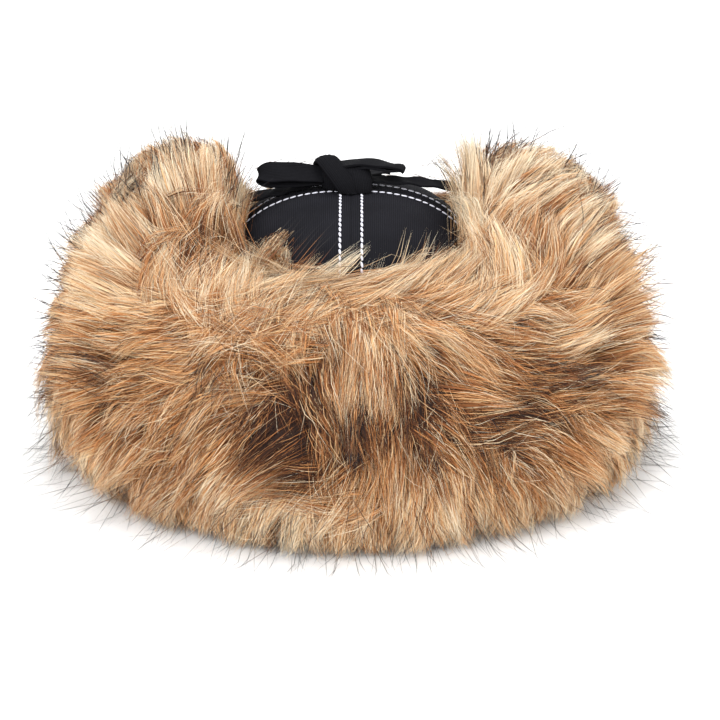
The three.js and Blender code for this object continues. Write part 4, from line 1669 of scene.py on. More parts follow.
def seen_ways(azimuth: Points, share: Points, degrees: Points) -> tuple[Points, Points]:
    """Find directions on the pile that look as given in the picture.

    Args:
        azimuth: Degrees round the cap.
        share: Shares over the pile.
        degrees: The directions in the picture, 0 to the right and 90 up.

    Returns:
        Their parts to the right and up the pile.
    """
    right, up, _ = PILE.axes(azimuth, share)
    basis = np.stack([VIEW.flat(right), VIEW.flat(up)], -1)
    turn = np.radians(degrees)
    wanted = np.stack([np.cos(turn), np.sin(turn)], -1)[..., None]
    flipped = np.swapaxes(basis, 1, 2)
    parts = unit(np.linalg.solve(flipped @ basis + 0.03 * np.eye(2), flipped @ wanted)[..., 0])
    return parts[:, 0], parts[:, 1]


class HairLie:
    """How the hair lies at any place of the pile: its direction, lift and length."""

    lift: ClassVar[Course] = Course((-0.1, 0.1, 0.3, 0.75, 0.88, 1), (14, 15, 14, 15, 20, 22))
    side_lift: ClassVar[Course] = Course((0, 0.2, 0.35, 0.7, 1), (12, 13, 9, 12, 8))
    length: ClassVar[Course] = Course((0, 0.2, 0.75, 1), (66, 68, 64, 54))
    side_short: ClassVar[float] = 0.16
    plain_weight: ClassVar[float] = 0.12
    top_degrees: ClassVar[float] = 32
    top_share: ClassVar[float] = 0.42

    def __init__(self) -> None:
        """Work out the places and directions of the picture's runs, and the like of them behind."""
        flows = [Flow(*row) for run in RUNS.values() for row in run]
        found = np.array([VIEW.find(flow.x, flow.y) for flow in flows])
        aside, upward = seen_ways(found[:, 0], found[:, 1], np.array([flow.way for flow in flows], float))
        azimuth, share = mirrored(found)
        right, up, _ = PILE.axes(azimuth, share)
        self.middles = PILE.at(PILE.outer, azimuth, share)
        self.ways = scaled(right, np.concatenate([aside, -aside])) + scaled(up, np.tile(upward, 2))
        tops = on_tops(found, self.top_degrees, self.top_share)
        half = len(found)
        self.ways[half:][tops] = self.ways[:half][tops]
        self.reach = np.tile(MM * np.array([flow.reach for flow in flows]), 2)
        self.lifts, self.hollows, self.messes = SpotField(LIFTS), SpotField(HOLLOWS), SpotField(MESSES)

    def plain(self, azimuth: Points, share: Points) -> tuple[Points, Points, Points]:
        """Give the hair's lie where no run is near: up at the crest, out to the side, and down to the foot.

        Args:
            azimuth: Degrees round the cap.
            share: Shares over the pile.

        Returns:
            Directions along the surface, lifts in degrees and lengths.
        """
        right, up, _ = PILE.axes(azimuth, share)
        along = PILE.at(PILE.alongs, azimuth, share)
        turn = np.pi / 2 * (1 - 2 * climb(along, 0.30, 0.42))
        a = np.radians(azimuth)
        aside = np.clip(1.6 * np.sin(a) + 0.8 * np.sin(7 * a) * (1 - np.abs(np.sin(a))), -1, 1)
        way = scaled(right, aside * np.cos(turn)) + scaled(up, np.sin(turn))
        side = climb(np.abs(np.sin(a)), 0.70, 0.28)
        lift = self.lift.at(along) + side * self.side_lift.at(along)
        return way, lift, MM * self.length.at(along) * (1 - self.side_short * side)

    def at(self, azimuth: Points, share: Points) -> tuple[Points, Points, Points]:
        """Blend the runs that are near into the plain lie, and take and give what it does.

        Args:
            azimuth: Degrees round the cap.
            share: Shares over the pile.

        Returns:
            Unit directions along the surface, lifts in degrees and lengths.
        """
        way, lift, length = self.plain(azimuth, share)
        places = PILE.at(PILE.outer, azimuth, share)
        way = way * self.plain_weight
        for middle, own, reach in zip(self.middles, self.ways, self.reach):
            way += np.exp(-(((places - middle) ** 2).sum(1) / reach**2))[:, None] * own
        out = PILE.at(PILE.out, azimuth, share)
        way -= out * (way * out).sum(1, keepdims=True)
        return unit(way), lift + self.lifts.at(places), length


@dataclass
class Spines:
    """The middle lines of locks of hair: root, bend and tip of each, and the directions at its tip."""

    root: Points
    bend: Points
    tip: Points
    out: Points
    way: Points
    length: Points

    def point(self, share: float, ends: Points) -> Points:
        """Give the points at a share of each line's length, which ends may stretch or cut."""
        at = (share * ends)[:, None]
        return (1 - at) ** 2 * self.root + 2 * at * (1 - at) * self.bend + at**2 * self.tip

    def take(self, rows: np.ndarray) -> "Spines":
        """Repeat or pick some of the lines."""
        return Spines(*(getattr(self, k)[rows] for k in ("root", "bend", "tip", "out", "way", "length")))

    def push(self, tip: Points, bend: Points) -> None:
        """Move the tips and the bends outwards."""
        self.tip += scaled(self.out, tip)
        self.bend += scaled(self.out, bend)


LOBE_HOLLOW = Course((0, 0.22, 0.45, 0.65, 0.85), (11, 14, 11, 9, 0))
SUNK = Course((15, 45), (0.07, 0.34))
LOBE_HALF = 26
LEAST_LIFT, MOST_LIFT = 7, 75
ROOT_DEPTH = 4 * MM


def grow(
    lie: HairLie,
    azimuth: Points,
    share: Points,
    turn: Points,
    stretch: Points,
    curl: Points,
    lift_more: Points,
) -> Spines:
    """Work out where locks whose tips are at given places grow from, and how they bend.

    Args:
        lie: The lie of the hair.
        azimuth: Degrees round the cap, of the tips.
        share: Shares over the pile, of the tips.
        turn: Degrees that each lock's way is turned by.
        stretch: Factor on its length.
        curl: How far its middle bows to the side.
        lift_more: Degrees added to its lift.

    Returns:
        The locks' middle lines.
    """
    way, lift, length = lie.at(azimuth, share)
    right, up, out = PILE.axes(azimuth, share)
    way = spun(way, out, turn)
    side = np.cross(out, way)
    length = length * stretch
    degrees = np.clip(lift + lift_more, LEAST_LIFT, MOST_LIFT)
    lift = np.radians(degrees)
    wide, tall = PILE.at(PILE.wide, azimuth, share), PILE.at(PILE.tall, azimuth, share)
    flat = length * np.cos(lift)
    depth = length * np.sin(lift) + ROOT_DEPTH
    along = PILE.at(PILE.alongs, azimuth, share)
    hollow = MM * lie.hollows.at(PILE.at(PILE.outer, azimuth, share))
    hollow += MM * bell(from_middle(azimuth) - 90, LOBE_HALF) * LOBE_HOLLOW.at(along)

    def place(back: float, aside: Points) -> tuple[Points, Points]:
        """Find the place at a share of the way back from the tip."""
        step = scaled(side, aside) - scaled(way, back * flat)
        down = share - (step * up).sum(1) / tall
        return azimuth + (step * right).sum(1) / wide, np.clip(down, -0.15, 0.985)

    tip = PILE.inside(azimuth, share, hollow)
    middle = PILE.inside(*place(0.48, curl), SUNK.at(degrees) * depth + 0.7 * hollow)
    root_azimuth, root_share = place(1.0, 0 * curl)
    root = PILE.inside(root_azimuth, np.clip(root_share, 0.01, 0.985), depth + 0.3 * hollow)
    return Spines(root, 2 * middle - 0.5 * (root + tip), tip, out, way, length)


class Tufts:
    """The large tufts that the locks gather in, all round the cap."""

    batch: ClassVar[int] = 2000
    slenderness: ClassVar[float] = 0.90

    def __init__(self, lie: HairLie, count: int = 1500, seed: int = 5) -> None:
        """Pick the tufts' middles and their own turn, length, tone and height.

        Args:
            lie: The lie of the hair.
            count: About how many tufts.
            seed: The source of chance.
        """
        rng = np.random.default_rng(seed)
        azimuth, share = scatter(rng, count, -180, 180, 0.6)
        count = len(azimuth)
        self.places = PILE.at(PILE.outer, azimuth, share)
        self.mess = 1 + lie.messes.at(self.places)
        side = climb(np.abs(np.sin(np.radians(azimuth))), 0.75, 0.2)
        self.turn = rng.normal(0, 6, count) * self.mess
        self.lift = rng.normal(0, 3, count) * (1 + side)
        self.stretch = rng.normal(1, 0.09, count)
        self.curl = rng.normal(0, 3.5 * MM, count) * (1 + 0.3 * self.mess)
        self.tone = rng.normal(0, 0.07, count)
        self.ginger = rng.uniform(0, 1, count)
        self.pull = rng.uniform(0.30, 0.80, count)
        spines = grow(lie, azimuth, share, self.turn, self.stretch, self.curl, self.lift)
        self.ways = spines.way
        ahead = rng.uniform(0, 16 * MM, count)
        self.rise = rng.normal(0.6 * MM, 2.0 * MM, count) * (1 + 1.5 * side)
        self.tip = spines.tip + scaled(spines.way, ahead) + scaled(spines.out, self.rise)

    def nearest(self, places: Points) -> np.ndarray:
        """Find the tuft that each place belongs to, where tufts are longer than they are wide.

        Args:
            places: The places.

        Returns:
            The tuft's number for each.
        """
        found = np.zeros(len(places), int)
        for start in range(0, len(places), self.batch):
            apart = places[start : start + self.batch, None] - self.places[None]
            ahead = (apart * self.ways[None]).sum(2)
            far = (apart**2).sum(2) - self.slenderness * ahead**2
            found[start : start + self.batch] = far.argmin(1)
        return found


@dataclass
class Ribbons:
    """Tapered ribbons gathered for one mesh, with their place on the fur's colour map."""

    places: list = field(default_factory=list)
    corners: list = field(default_factory=list)
    sizes: list = field(default_factory=list)
    maps: list = field(default_factory=list)
    count: int = 0

    def add(
        self, spots: Points, ups: Points, across: Points, widths: Points, column: Points, half_column: float
    ) -> None:
        """Add ribbons.

        Args:
            spots: For each ribbon, the points of its middle line towards its tip.
            ups: How far up the hair those points are, from 0 at the root to 1 at the tip.
            across: The direction of each ribbon's width.
            widths: The width at each point but the last, which is its sharp tip.
            column: The place of each across the colour map.
            half_column: Half the width that each takes there.
        """
        total, steps = spots.shape[0], spots.shape[1] - 1
        half = across[:, None, :] * (widths / 2)[..., None]
        sides = np.stack([spots[:, :-1] - half, spots[:, :-1] + half], 2).reshape(total, -1, 3)
        vertices = np.concatenate([sides, spots[:, -1:]], 1)
        each = 2 * steps + 1
        start = self.count + (np.arange(total) * each)[:, None]
        faces = [np.array([2 * k, 2 * k + 2, 2 * k + 3, 2 * k + 1]) for k in range(steps - 1)]
        local = np.concatenate([*faces, np.array([2 * steps - 2, 2 * steps, 2 * steps - 1])])
        side = np.where(local == 2 * steps, 0, np.where(local % 2 == 0, -1, 1))
        up = 0.005 + 0.99 * np.asarray(ups)[np.minimum(local // 2, steps)]
        u = column[:, None] + side[None, :] * half_column
        self.places.append(vertices.reshape(-1, 3))
        self.corners.append((start + local[None, :]).ravel())
        self.sizes.append(np.tile([4] * (steps - 1) + [3], total))
        self.maps.append(np.stack([u, np.broadcast_to(up, u.shape)], -1).reshape(-1, 2))
        self.count += total * each

    def mesh(self, name: str) -> Piece:
        """Join the ribbons in one mesh."""
        hair = mesh_piece(name, *(np.concatenate(part) for part in (self.places, self.corners, self.sizes)))
        layer = hair.data.uv_layers.new(name="OFBake")
        layer.data.foreach_set("uv", np.concatenate(self.maps).astype(np.float32).ravel())
        return hair


@dataclass
class Patch:
    """One stretch of a flap's fur as it grows: its edges in azimuth, its source of chance and its ribbons."""

    low: float
    high: float
    rng: np.random.Generator
    ribbons: Ribbons = field(default_factory=Ribbons)


@dataclass
class Fur:
    """The deep fur of one flap: an undercoat, its locks of hair and the long guard hairs."""

    flap: Flap
    lie: HairLie
    tufts: Tufts
    locks: int
    guards: int
    loose: int
    over: float
    pieces: int = 1
    hairs: int = 19
    rows: tuple[float, ...] = (0.30, 0.56, 0.80, 1.0)
    hair_rows: tuple[float, ...] = (0.36, 0.72, 1.0)
    hair_width: float = 0.235 * MM
    hair_column: float = 0.35 / HAIR.grain
    lock_width: float = 1.05 * MM
    lock_column: float = 3.5 / HAIR.grain
    guard_width: float = 0.45 * MM
    strand_width: float = 0.34 * MM
    spread: float = 3.0 * MM
    floor: float = 0.4 * MM
    floor_splay: float = 0.85
    wall_clear: float = 3.6 * MM
    wall_over: float = 12 * MM
    dome_clear: float = 2 * MM
    own_turn: float = 4
    own_stretch: float = 0.09
    own_curl: float = 1.2 * MM
    own_lift: float = 2
    own_pull: float = 0.14
    own_tone: float = 0.07
    most_pull: float = 0.92
    layer_height: float = 1.3 * MM
    arch_bend: float = 5 * MM
    ginger_share: float = 0.42
    guard_share: float = 0.015
    drift: float = 0.022
    curl: float = 0.016
    bare_middle: float = 52
    bare_half: float = 24
    coat_depth: float = 21 * MM
    peak_seed: int = 8
    peak_pull: float = 0.90
    peak_back: float = 6 * MM
    top_degrees: float = 36
    top_share: float = 0.42
    reach: Place = (194 * MM, 188 * MM, 199.5 * MM)
    side_tone: Course = Course((0.3, 0.4, 0.5), (0.10, 0.05, 0.08))
    contrast: Course = Course((0.35, 0.75), (0.28, 0.08))
    # The tone down the pile: partly the coat's own colour and partly painted light, lighter over the crown
    # and on the crest where the light falls, and darker in the band under the upper tier where shade falls.
    base_tone: Course = Course(
        (-0.2, 0, 0.12, 0.25, 0.36, 0.46, 0.54, 0.62, 0.72, 0.86, 1),
        (0.82, 0.82, 0.79, 0.74, 0.69, 0.61, 0.55, 0.52, 0.54, 0.70, 0.74),
    )

    def __post_init__(self) -> None:
        """Find the places of the marks that change the coat."""
        self.tones, self.gingers, self.dark_tips = SpotField(SHADE_AND_TONE_SPOTS), SpotField(GINGERS), SpotField(GUARDS)
        found = np.array([VIEW.find(peak.x, peak.y) for peak in PEAKS])
        self.peak_middles = PILE.at(PILE.outer, *mirrored(found))
        moves = np.array([VIEW.moved(p.tip_x - p.x, p.tip_y - p.y, p.lean * MM) for p in PEAKS])
        self.peak_moves = np.concatenate([moves, 0.75 * moves * [1, -1, 1]])
        self.ragged = np.random.default_rng(self.peak_seed).uniform(0.62, 1.12, self.locks)
        tops = on_tops(found, self.top_degrees, self.top_share)
        self.peak_pulls = np.where(np.concatenate([0 * tops, tops]), 0, self.peak_pull)

    def build(self) -> None:
        """Make the undercoat and the hair."""
        hand_over(self._undercoat(), "fur", UNDERCOAT, f"{self.flap.title}_fur")
        edges = np.linspace(self.flap.value[1], self.flap.value[2], self.pieces + 1)
        for i in range(self.pieces):
            name = f"{self.flap.title}_hair" + (f"_{i + 1}" if self.pieces > 1 else "")
            rng = np.random.default_rng([len(name), i, round(edges[i] * 10) % 3600])
            patch = Patch(edges[i], edges[i + 1], rng)
            for step in (self._grow_locks, self._grow_guards, self._grow_loose, self._cross):
                step(patch)
            hand_over(patch.ribbons.mesh(name), "fur", HAIR)

    def _undercoat(self) -> Piece:
        """Loft the woolly body that the hair grows from, a little inside the fur's outer form.

        Returns:
            The body, a closed ring of faces round its section with a cap at each end.
        """
        columns = 56
        azimuth = self.flap.azimuths(columns)[:, None]
        share = np.linspace(0, 1, 48)[None, :]
        a = np.radians(azimuth)
        swell = np.sin(a * 9) * np.sin(share * 17) + np.sin(a * 23 + share * 11)
        depth = self.coat_depth * (1 + 0.14 * swell)
        outer = PILE.inside(*np.broadcast_arrays(azimuth, share), depth, 0.8)
        outer[..., 2] = np.maximum(outer[..., 2], self.floor)
        lift = PILE.seat_lift + 0.3 * MM
        top = section_value(azimuth, "cloth_top")
        height = HEAD.rim_height + (top - HEAD.rim_height) * np.linspace(0, 1, 14)[None, :]
        inner = HEAD.on_flap(azimuth, height, lift)
        foot = HEAD.outside(azimuth[:, 0], np.full(columns, lift), np.full(columns, self.floor))[:, None, :]
        ring = np.concatenate([foot, inner, outer], 1)
        count = ring.shape[1]
        i, j = np.meshgrid(np.arange(columns - 1), np.arange(count), indexing="ij")
        a, b = (i * count + j).ravel(), (i * count + (j + 1) % count).ravel()
        walls = np.stack([a, b, b + count, a + count], -1).ravel()
        last = (columns - 1) * count
        corners = np.concatenate([walls, np.arange(count)[::-1], last + np.arange(count)])
        sizes = np.concatenate([np.full((columns - 1) * count, 4), [count, count]])
        coat = mesh_piece(f"{self.flap.title}_undercoat", ring.reshape(-1, 3), corners, sizes)
        edit(coat)
        bpy.ops.mesh.normals_make_consistent(inside=False)
        leave_edit()
        return coat

    def _settled(self, points: Points) -> Points:
        """Keep points off the floor, where hair splays outwards, out of the crown and within the cap's size.

        Args:
            points: The points, in metres.

        Returns:
            The points, moved as far as needed.
        """
        x, y, z = points[..., 0], points[..., 1], points[..., 2]
        far = np.maximum(np.hypot(x, y), 1e-6)
        splay = 1 + self.floor_splay * np.maximum(self.floor - z, 0) / far
        x, y, z = x * splay, y * splay, np.maximum(z, self.floor)
        share = HEAD.section(z)[0]
        wide, long = HEAD.half_width * share + self.wall_clear, HEAD.half_length * share + self.wall_clear
        within = np.hypot(x / wide, y / long)
        low = (z < HEAD.spring + self.wall_over) & (within < 1)
        within = np.where(low, np.maximum(within, 0.2), 1)
        x, y = x / within, y / within
        dome = np.hypot(x / (HEAD.side_taper * HEAD.half_width), y / (HEAD.side_taper * HEAD.half_length)) < 1
        cover = HEAD.over(x, y, self.dome_clear)
        z = np.where(dome & (z < cover) & ~low, cover, z)
        a, b, c = self.reach
        return np.stack([np.clip(x, -a, a), np.clip(y, -b, b), np.minimum(z, c)], -1)

    def _raise_peaks(self, spines: Spines, places: Points) -> None:
        """Draw the locks near each peak together to its tip.

        Args:
            spines: The locks' middle lines, which it changes.
            places: The locks' places on the pile.
        """
        ragged = self.ragged[: len(places), None]
        for middle, move, most, peak in zip(self.peak_middles, self.peak_moves, self.peak_pulls, PEAKS * 2):
            away = np.linalg.norm(places - middle, axis=1) / (peak.reach * MM)
            pull = (most * np.exp(-(away**3)))[:, None]
            spines.tip += pull * (middle + move * ragged - spines.tip)
            spines.bend += 0.6 * pull * (middle - unit(move) * self.peak_back - spines.bend)

    def _grow_locks(self, patch: Patch) -> None:
        """Grow the locks of one patch: a flat strip of packed hair each, and single hairs on and round it.

        Args:
            patch: The patch, whose ribbons it adds to.
        """
        rng = patch.rng
        azimuth, share = scatter(rng, self.locks // self.pieces, patch.low, patch.high, self.over)
        right = np.sin(np.radians(azimuth)) > 0
        keep = (share > 0) | right | (np.abs(from_middle(azimuth) - self.bare_middle) > self.bare_half)
        azimuth, share = azimuth[keep], share[keep]
        count, t = len(azimuth), self.tufts
        places = PILE.at(PILE.outer, azimuth, share)
        along = PILE.at(PILE.alongs, azimuth, share)
        tuft = t.nearest(places)
        spines = grow(
            self.lie,
            azimuth,
            share,
            t.turn[tuft] + rng.normal(0, self.own_turn, count) * t.mess[tuft],
            t.stretch[tuft] * rng.normal(1, self.own_stretch, count),
            t.curl[tuft] + rng.normal(0, self.own_curl, count),
            t.lift[tuft] + rng.normal(0, self.own_lift, count),
        )
        pull = np.clip(t.pull[tuft] + rng.normal(0, self.own_pull, count), 0, self.most_pull)[:, None]
        gap = t.tip[tuft] - spines.tip
        ahead = (gap * spines.way).sum(1, keepdims=True) * spines.way
        spines.tip += pull * (gap - ahead) + 0.3 * pull * ahead
        foot = climb(along, 0.8, 0.15)
        spines.push(foot * rng.uniform(0, 7 * MM, count), 0 * foot)
        layer = 0.6 * t.rise[tuft] + rng.normal(0, self.layer_height, count)
        spines.push(0.5 * layer, layer)
        arch = np.clip((0.10 - share) / 0.16, 0, 1)
        spines.push(arch * rng.uniform(0, 4 * MM, count), arch * self.arch_bend)
        self._raise_peaks(spines, places)
        spines.tip, spines.bend = self._settled(spines.tip), self._settled(spines.bend)
        # The tone down the pile carries painted light on the crest and painted shade under the upper tier.
        base = self.base_tone.at(along)
        side = climb(from_middle(azimuth), 48, 20)
        base += side * self.side_tone.at(along)
        # The spots add painted shade in hollows and valleys and painted light on raised tufts, as well as the
        # fur's own colour.
        tone = base + t.tone[tuft] + rng.normal(0, self.own_tone, count) + self.tones.at(places)
        # Painted light and shade: locks that stand out are lighter and sunk ones darker.
        tone += 0.05 * np.clip(layer / (1.5 * MM), -2, 2)
        ginger = self.ginger_share + 0.5 * (t.ginger[tuft] - 0.5) - 0.9 * (base - 0.65)
        ginger += self.gingers.at(places)
        ginger -= 0.45 * side * (along < 0.45) + np.clip(1 - share / 0.1, 0, 1)
        ginger = np.clip(ginger, 0.03, 0.95)
        guard = self.guard_share + self.dark_tips.at(places)
        for _ in range(2):
            self._add_strips(patch, spines, share, tone, ginger)
        stray = 0.04 + 0.10 * bell(from_middle(azimuth) - 90, 18) + 0.18 * climb(along, 0.74, 0.12)
        self._add_hairs(patch, spines, tone, ginger, guard, stray)

    def _add_strips(self, patch: Patch, spines: Spines, share: Points, tone: Points, ginger: Points) -> None:
        """Add the strip of packed hair in the middle of each lock.

        Args:
            patch: Where it grows.
            spines: The locks' middle lines.
            share: Their shares over the pile.
            tone: Their tones.
            ginger: How likely each is ginger.
        """
        rng, count = patch.rng, len(tone)
        ends = rng.uniform(0.74, 0.92, count)
        spots = np.stack([spines.point(k, ends) for k in self.rows], 1)
        way = unit(spots[:, -1] - spots[:, -2])
        beside = unit(np.cross(spines.out, way))
        aside = rng.normal(0, 1.3 * MM, count)[:, None] * (1 - 0.6 * np.array(self.rows))
        spots = self._settled(spots + beside[:, None] * aside[..., None])
        across = spun(beside, way, rng.normal(0, 12, count))
        width = self.lock_width * rng.uniform(0.6, 1.3, count) * np.clip((share + 0.01) / 0.1, 0.15, 1)
        own = np.clip(tone - 0.12, 0.04, 0.95)
        column = self._columns(rng, own, rng.uniform(0, 1, count) < ginger, np.zeros(count, bool))
        widths = width[:, None] * np.array([1.0, 1.0, 0.7])
        patch.ribbons.add(spots, self.rows, across, widths, column, self.lock_column)

    def _add_hairs(
        self, patch: Patch, spines: Spines, tone: Points, ginger: Points, guard: Points, stray: Points
    ) -> None:
        """Add the single hairs of the locks.

        Args:
            patch: Where they grow.
            spines: The locks' middle lines.
            tone: The locks' tones.
            ginger: How likely each hair is ginger.
            guard: How likely it is a guard hair.
            stray: How likely it strays from its lock.
        """
        rng = patch.rng
        lock = np.repeat(np.arange(len(tone)), self.hairs)
        total = len(lock)
        lines = spines.take(lock)
        way = unit(lines.tip - lines.bend)
        beside = unit(np.cross(lines.out, way))
        above = np.cross(way, beside)
        is_guard = rng.uniform(0, 1, total) < guard[lock]
        strays = rng.uniform(0, 1, total) < stray[lock]
        a, b = rng.normal(0, 1, (2, total)) * self.spread
        wild = np.where(is_guard, 1.4, 1.0) * np.where(strays, 3.6, 1.0)
        ends = np.where(is_guard, rng.uniform(1.0, 1.22, total), rng.uniform(0.74, 1.08, total))
        ends = np.where(strays, rng.uniform(0.9, 1.16, total), ends)
        drift = rng.normal(0, 1, (2, total)) * self.drift * lines.length * wild
        curl = rng.normal(0, 1, (2, total)) * self.curl * lines.length * wild
        spots = []
        for share in self.hair_rows:
            gather = 1 - 0.6 * share**1.4
            shift_a = a * gather + drift[0] * share**2 + curl[0] * math.sin(math.pi * share)
            shift_b = 0.45 * b * gather + drift[1] * share**2 + curl[1] * math.sin(math.pi * share)
            spots.append(lines.point(share, ends) + scaled(beside, shift_a) + scaled(above, shift_b))
        spots = self._settled(np.stack(spots, 1))
        across = spun(beside, way, rng.normal(0, 16, total))
        chance = rng.uniform(0, 1, total)
        dark, light = chance < 0.13, chance > 0.86
        contrast = self.contrast.at(tone[lock])
        own = tone[lock] + rng.normal(0, 1, total) * contrast
        own += np.where(dark, -0.30, np.where(light, contrast + 0.05, 0))
        width = self.hair_width * rng.uniform(0.7, 1.2, total) * np.where(is_guard | (chance < 0.14), 0.85, 1)
        width *= np.where(strays, 0.75, np.where(light, 1.2, 1))
        column = self._columns(rng, own, rng.uniform(0, 1, total) < ginger[lock], is_guard)
        widths = width[:, None] * np.array([1.0, 0.9])
        patch.ribbons.add(spots, self.hair_rows, across, widths, column, self.hair_column)

    def _grow_guards(self, patch: Patch) -> None:
        """Grow the long dark-tipped guard hairs of one patch, which stand out beyond the rest.

        Args:
            patch: The patch, whose ribbons it adds to.
        """
        rng = patch.rng
        azimuth, share = scatter(rng, 2 * self.guards // self.pieces, patch.low, patch.high, 0)
        foot = climb(PILE.at(PILE.alongs, azimuth, share), 0.74, 0.12)
        edge = bell(from_middle(azimuth) - 90, 13)
        keep = rng.uniform(0, 1, len(azimuth)) < 0.04 + 0.80 * edge + 0.30 * foot * (1 - 0.7 * edge)
        rim = np.maximum(0.3 * climb(from_middle(azimuth), 50, 20), edge)
        azimuth, share, foot, rim = azimuth[keep], share[keep], foot[keep], np.maximum(rim, foot)[keep]
        total = len(azimuth)
        lines = grow(
            self.lie,
            azimuth,
            share,
            rng.normal(0, 18, total),
            rng.uniform(0.9, 1.25, total),
            rng.normal(0, 4 * MM, total),
            rng.uniform(6, 40, total) * (0.15 + 0.85 * rim),
        )
        lines.tip += scaled(lines.out, MM * rng.uniform(5, 34, total) * (0.1 + 0.9 * rim))
        lines.tip += scaled(lines.way, MM * (3 + 32 * rng.uniform(0, 1, total) ** 2))
        flat = unit(lines.tip * np.array([1, 1, 0]))
        lines.tip += scaled(flat, MM * 40 * rng.uniform(0, 1, total) ** 2 * foot)
        broad = self.guard_width * (1 - 0.35 * foot)
        self._add_long(patch, lines, rng.uniform(0.3, 0.8, total), np.ones(total, bool), broad)

    def _grow_loose(self, patch: Patch) -> None:
        """Lay loose hairs over the coat, light ones and dark ones, which cross the lie of the rest.

        Args:
            patch: The patch, whose ribbons it adds to.
        """
        rng = patch.rng
        azimuth, share = scatter(rng, self.loose // self.pieces, patch.low, patch.high, self.over)
        total = len(azimuth)
        lines = grow(
            self.lie,
            azimuth,
            share,
            rng.normal(0, 20, total),
            rng.uniform(0.7, 1.1, total),
            rng.normal(0, 6 * MM, total),
            rng.uniform(-6, 6, total),
        )
        raised = MM * rng.uniform(0.5, 4, total)
        lines.push(raised, 1.4 * raised)
        dark = rng.uniform(0, 1, total) < 0.3
        self._add_long(patch, lines, rng.uniform(0.75, 1, total), dark, 0.8 * self.hair_width)

    def _cross(self, patch: Patch) -> None:
        """Lay the dark strands that cross the coat, in front and the like of them behind.

        Args:
            patch: The patch, whose ribbons it adds to.
        """
        rng, behind = patch.rng, patch.low > 90
        flip = np.array([1, -1 if behind else 1, 1])
        marks = []
        for strand in STRANDS:
            azimuth = VIEW.find(strand.x, strand.y)[0]
            if not patch.low <= (180 - azimuth if behind else azimuth) < patch.high:
                continue
            for _ in range(strand.count):
                near, far = rng.normal(0, strand.spread, (2, 2))
                start = VIEW.find(strand.x + near[0], strand.y + near[1])
                end = VIEW.find(strand.tip_x + near[0] + 0.5 * far[0], strand.tip_y + near[1] + 0.5 * far[1])
                root = PILE.inside(np.array(start[0]), np.array(start[1]), np.array(5 * MM))
                marks.append([root * flip, PILE.at(PILE.outer, *end) * flip, PILE.at(PILE.out, *end) * flip])
        if not marks:
            return
        root, tip, out = np.swapaxes(np.array(marks), 0, 1)
        total = len(root)
        tip = tip + scaled(out, MM * rng.uniform(2, 14, total))
        way = unit(tip - root)
        bend = (root + tip) / 2 + scaled(out, MM * rng.uniform(2, 6, total))
        bend += scaled(np.cross(out, way), rng.normal(0, 3 * MM, total))
        lines = Spines(root, bend, tip, out, way, np.linalg.norm(tip - root, axis=1))
        self._add_long(patch, lines, rng.uniform(0.3, 0.6, total), np.ones(total, bool), self.strand_width)

    def _add_long(
        self, patch: Patch, lines: Spines, tone: Points, is_guard: np.ndarray, broad: Union[float, Points]
    ) -> None:
        """Add long single hairs, one on each line, each cut short where it would leave the cap's size.

        Args:
            patch: Where they grow.
            lines: Their middle lines.
            tone: Their tones.
            is_guard: True for those that end nearly black.
            broad: Their widths.
        """
        rng, total = patch.rng, len(tone)
        ends = np.ones(total)
        for share in np.linspace(0.5, 1, 11)[::-1]:
            far = np.abs(lines.point(share, np.ones(total))) > np.array(self.reach)
            ends = np.where(far.any(1), share - 0.05, ends)
        spots = self._settled(np.stack([lines.point(k, ends) for k in self.rows], 1))
        way = unit(spots[:, -1] - spots[:, -2])
        across = spun(unit(np.cross(lines.out, way)), way, rng.uniform(-50, 50, total))
        width = broad * rng.uniform(0.7, 1.2, total)
        column = self._columns(rng, tone, np.zeros(total, bool), is_guard)
        widths = width[:, None] * np.array([1.0, 0.95, 0.8])
        patch.ribbons.add(spots, self.rows, across, widths, column, self.hair_column)

    def _columns(
        self, rng: np.random.Generator, tone: Points, is_ginger: np.ndarray, is_guard: np.ndarray
    ) -> Points:
        """Find where hairs stand across the fur's colour map.

        Args:
            rng: The source of chance.
            tone: The hairs' tones.
            is_ginger: True for ginger hairs.
            is_guard: True for guard hairs.

        Returns:
            The middle of a cell of the map for each.
        """
        kind = np.where(is_guard, Coat.GUARD.value, np.where(is_ginger, Coat.GINGER.value, Coat.BEIGE.value))
        column = (kind + np.clip(tone, 0.03, 0.97)) / len(Coat)
        cell = np.floor(column * HAIR.grain) + rng.integers(-1, 2, len(tone))
        low, high = kind / len(Coat) * HAIR.grain + 1, (kind + 1) / len(Coat) * HAIR.grain - 2
        return (np.clip(cell, low, high) + 0.5) / HAIR.grain


# Studio


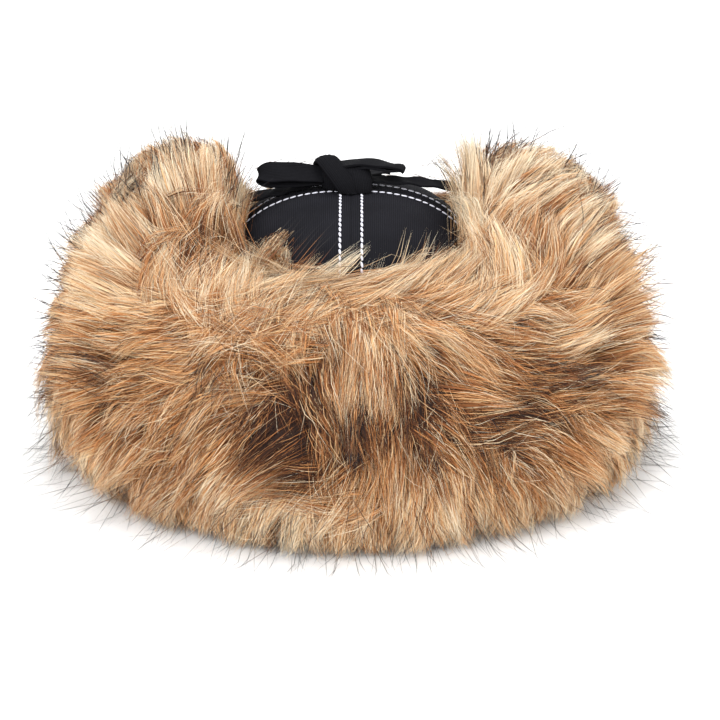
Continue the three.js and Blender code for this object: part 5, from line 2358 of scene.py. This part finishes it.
@dataclass
class Studio:
    """White paper, soft lamps and the camera at the photograph's angle."""

    view: PhotoView = VIEW
    background: float = 1.0

    def build(self) -> None:
        """Set up the camera, the paper, the lamps and the surrounding light."""
        self._camera()
        self._paper()
        self._lamp("key", (-0.75, -1.35, 1.35), 0.9, 26)
        self._lamp("fill", (1.1, -1.1, 0.75), 1.0, 10)
        self._lamp("top", (0.1, 0.25, 1.6), 1.0, 16)
        world = bpy.data.worlds.new("studio_light")
        world.use_nodes = True
        light = world.node_tree.nodes["Background"].inputs
        light["Color"].default_value = (1, 1, 1, 1)
        light["Strength"].default_value = self.background
        bpy.context.scene.world = world
        bpy.context.scene.view_settings.view_transform = "Standard"

    def _camera(self) -> None:
        """Place the camera and point it at the cap."""
        data = bpy.data.cameras.new("camera")
        data.lens, data.sensor_width = self.view.lens, self.view.sensor
        camera = bpy.data.objects.new("camera", data)
        bpy.context.scene.collection.objects.link(camera)
        camera.location = self.view.place
        camera.rotation_mode = "QUATERNION"
        camera.rotation_quaternion = Vector(-self.view.back).to_track_quat("-Z", "Y")
        bpy.context.scene.camera = camera

    def _paper(self) -> None:
        """Lay a sheet of paper under the cap."""
        deselect()
        bpy.ops.mesh.primitive_plane_add(size=8, location=(0, 0, 0))
        paper = bpy.context.object
        paper.name = "studio_floor"
        paper.data.materials.append(PAPER.material())

    def _lamp(self, name: str, place: Place, size: float, power: float) -> None:
        """Hang one soft square lamp that faces the cap.

        Args:
            name: Its name.
            place: Where it hangs.
            size: Its side in metres.
            power: Its power in watts.
        """
        data = bpy.data.lights.new(name, "AREA")
        data.size, data.energy = size, power
        lamp = bpy.data.objects.new(name, data)
        bpy.context.scene.collection.objects.link(lamp)
        lamp.location = place
        lamp.rotation_mode = "QUATERNION"
        lamp.rotation_quaternion = (Vector(self.view.target) - Vector(place)).to_track_quat("-Z", "Y")


def main() -> None:
    """Build the cap around its frame, and the studio."""
    logging.basicConfig(level=logging.INFO, format="%(message)s")
    Studio().build()
    Crown(HEAD).build()
    for flap in Flap:
        FlapCloth(flap, HEAD).build()
    Bow(HEAD).build()
    lie = HairLie()
    tufts = Tufts(lie)
    Fur(Flap.FRONT, lie, tufts, locks=5200, guards=1900, loose=900, over=0.35, pieces=3).build()
    Fur(Flap.RIGHT_EAR, lie, tufts, locks=2400, guards=1700, loose=350, over=0.03).build()
    Fur(Flap.NECK, lie, tufts, locks=1900, guards=1100, loose=300, over=0.20).build()
    Fur(Flap.LEFT_EAR, lie, tufts, locks=2400, guards=1700, loose=350, over=0.03).build()


if __name__ == "__main__":
    main()
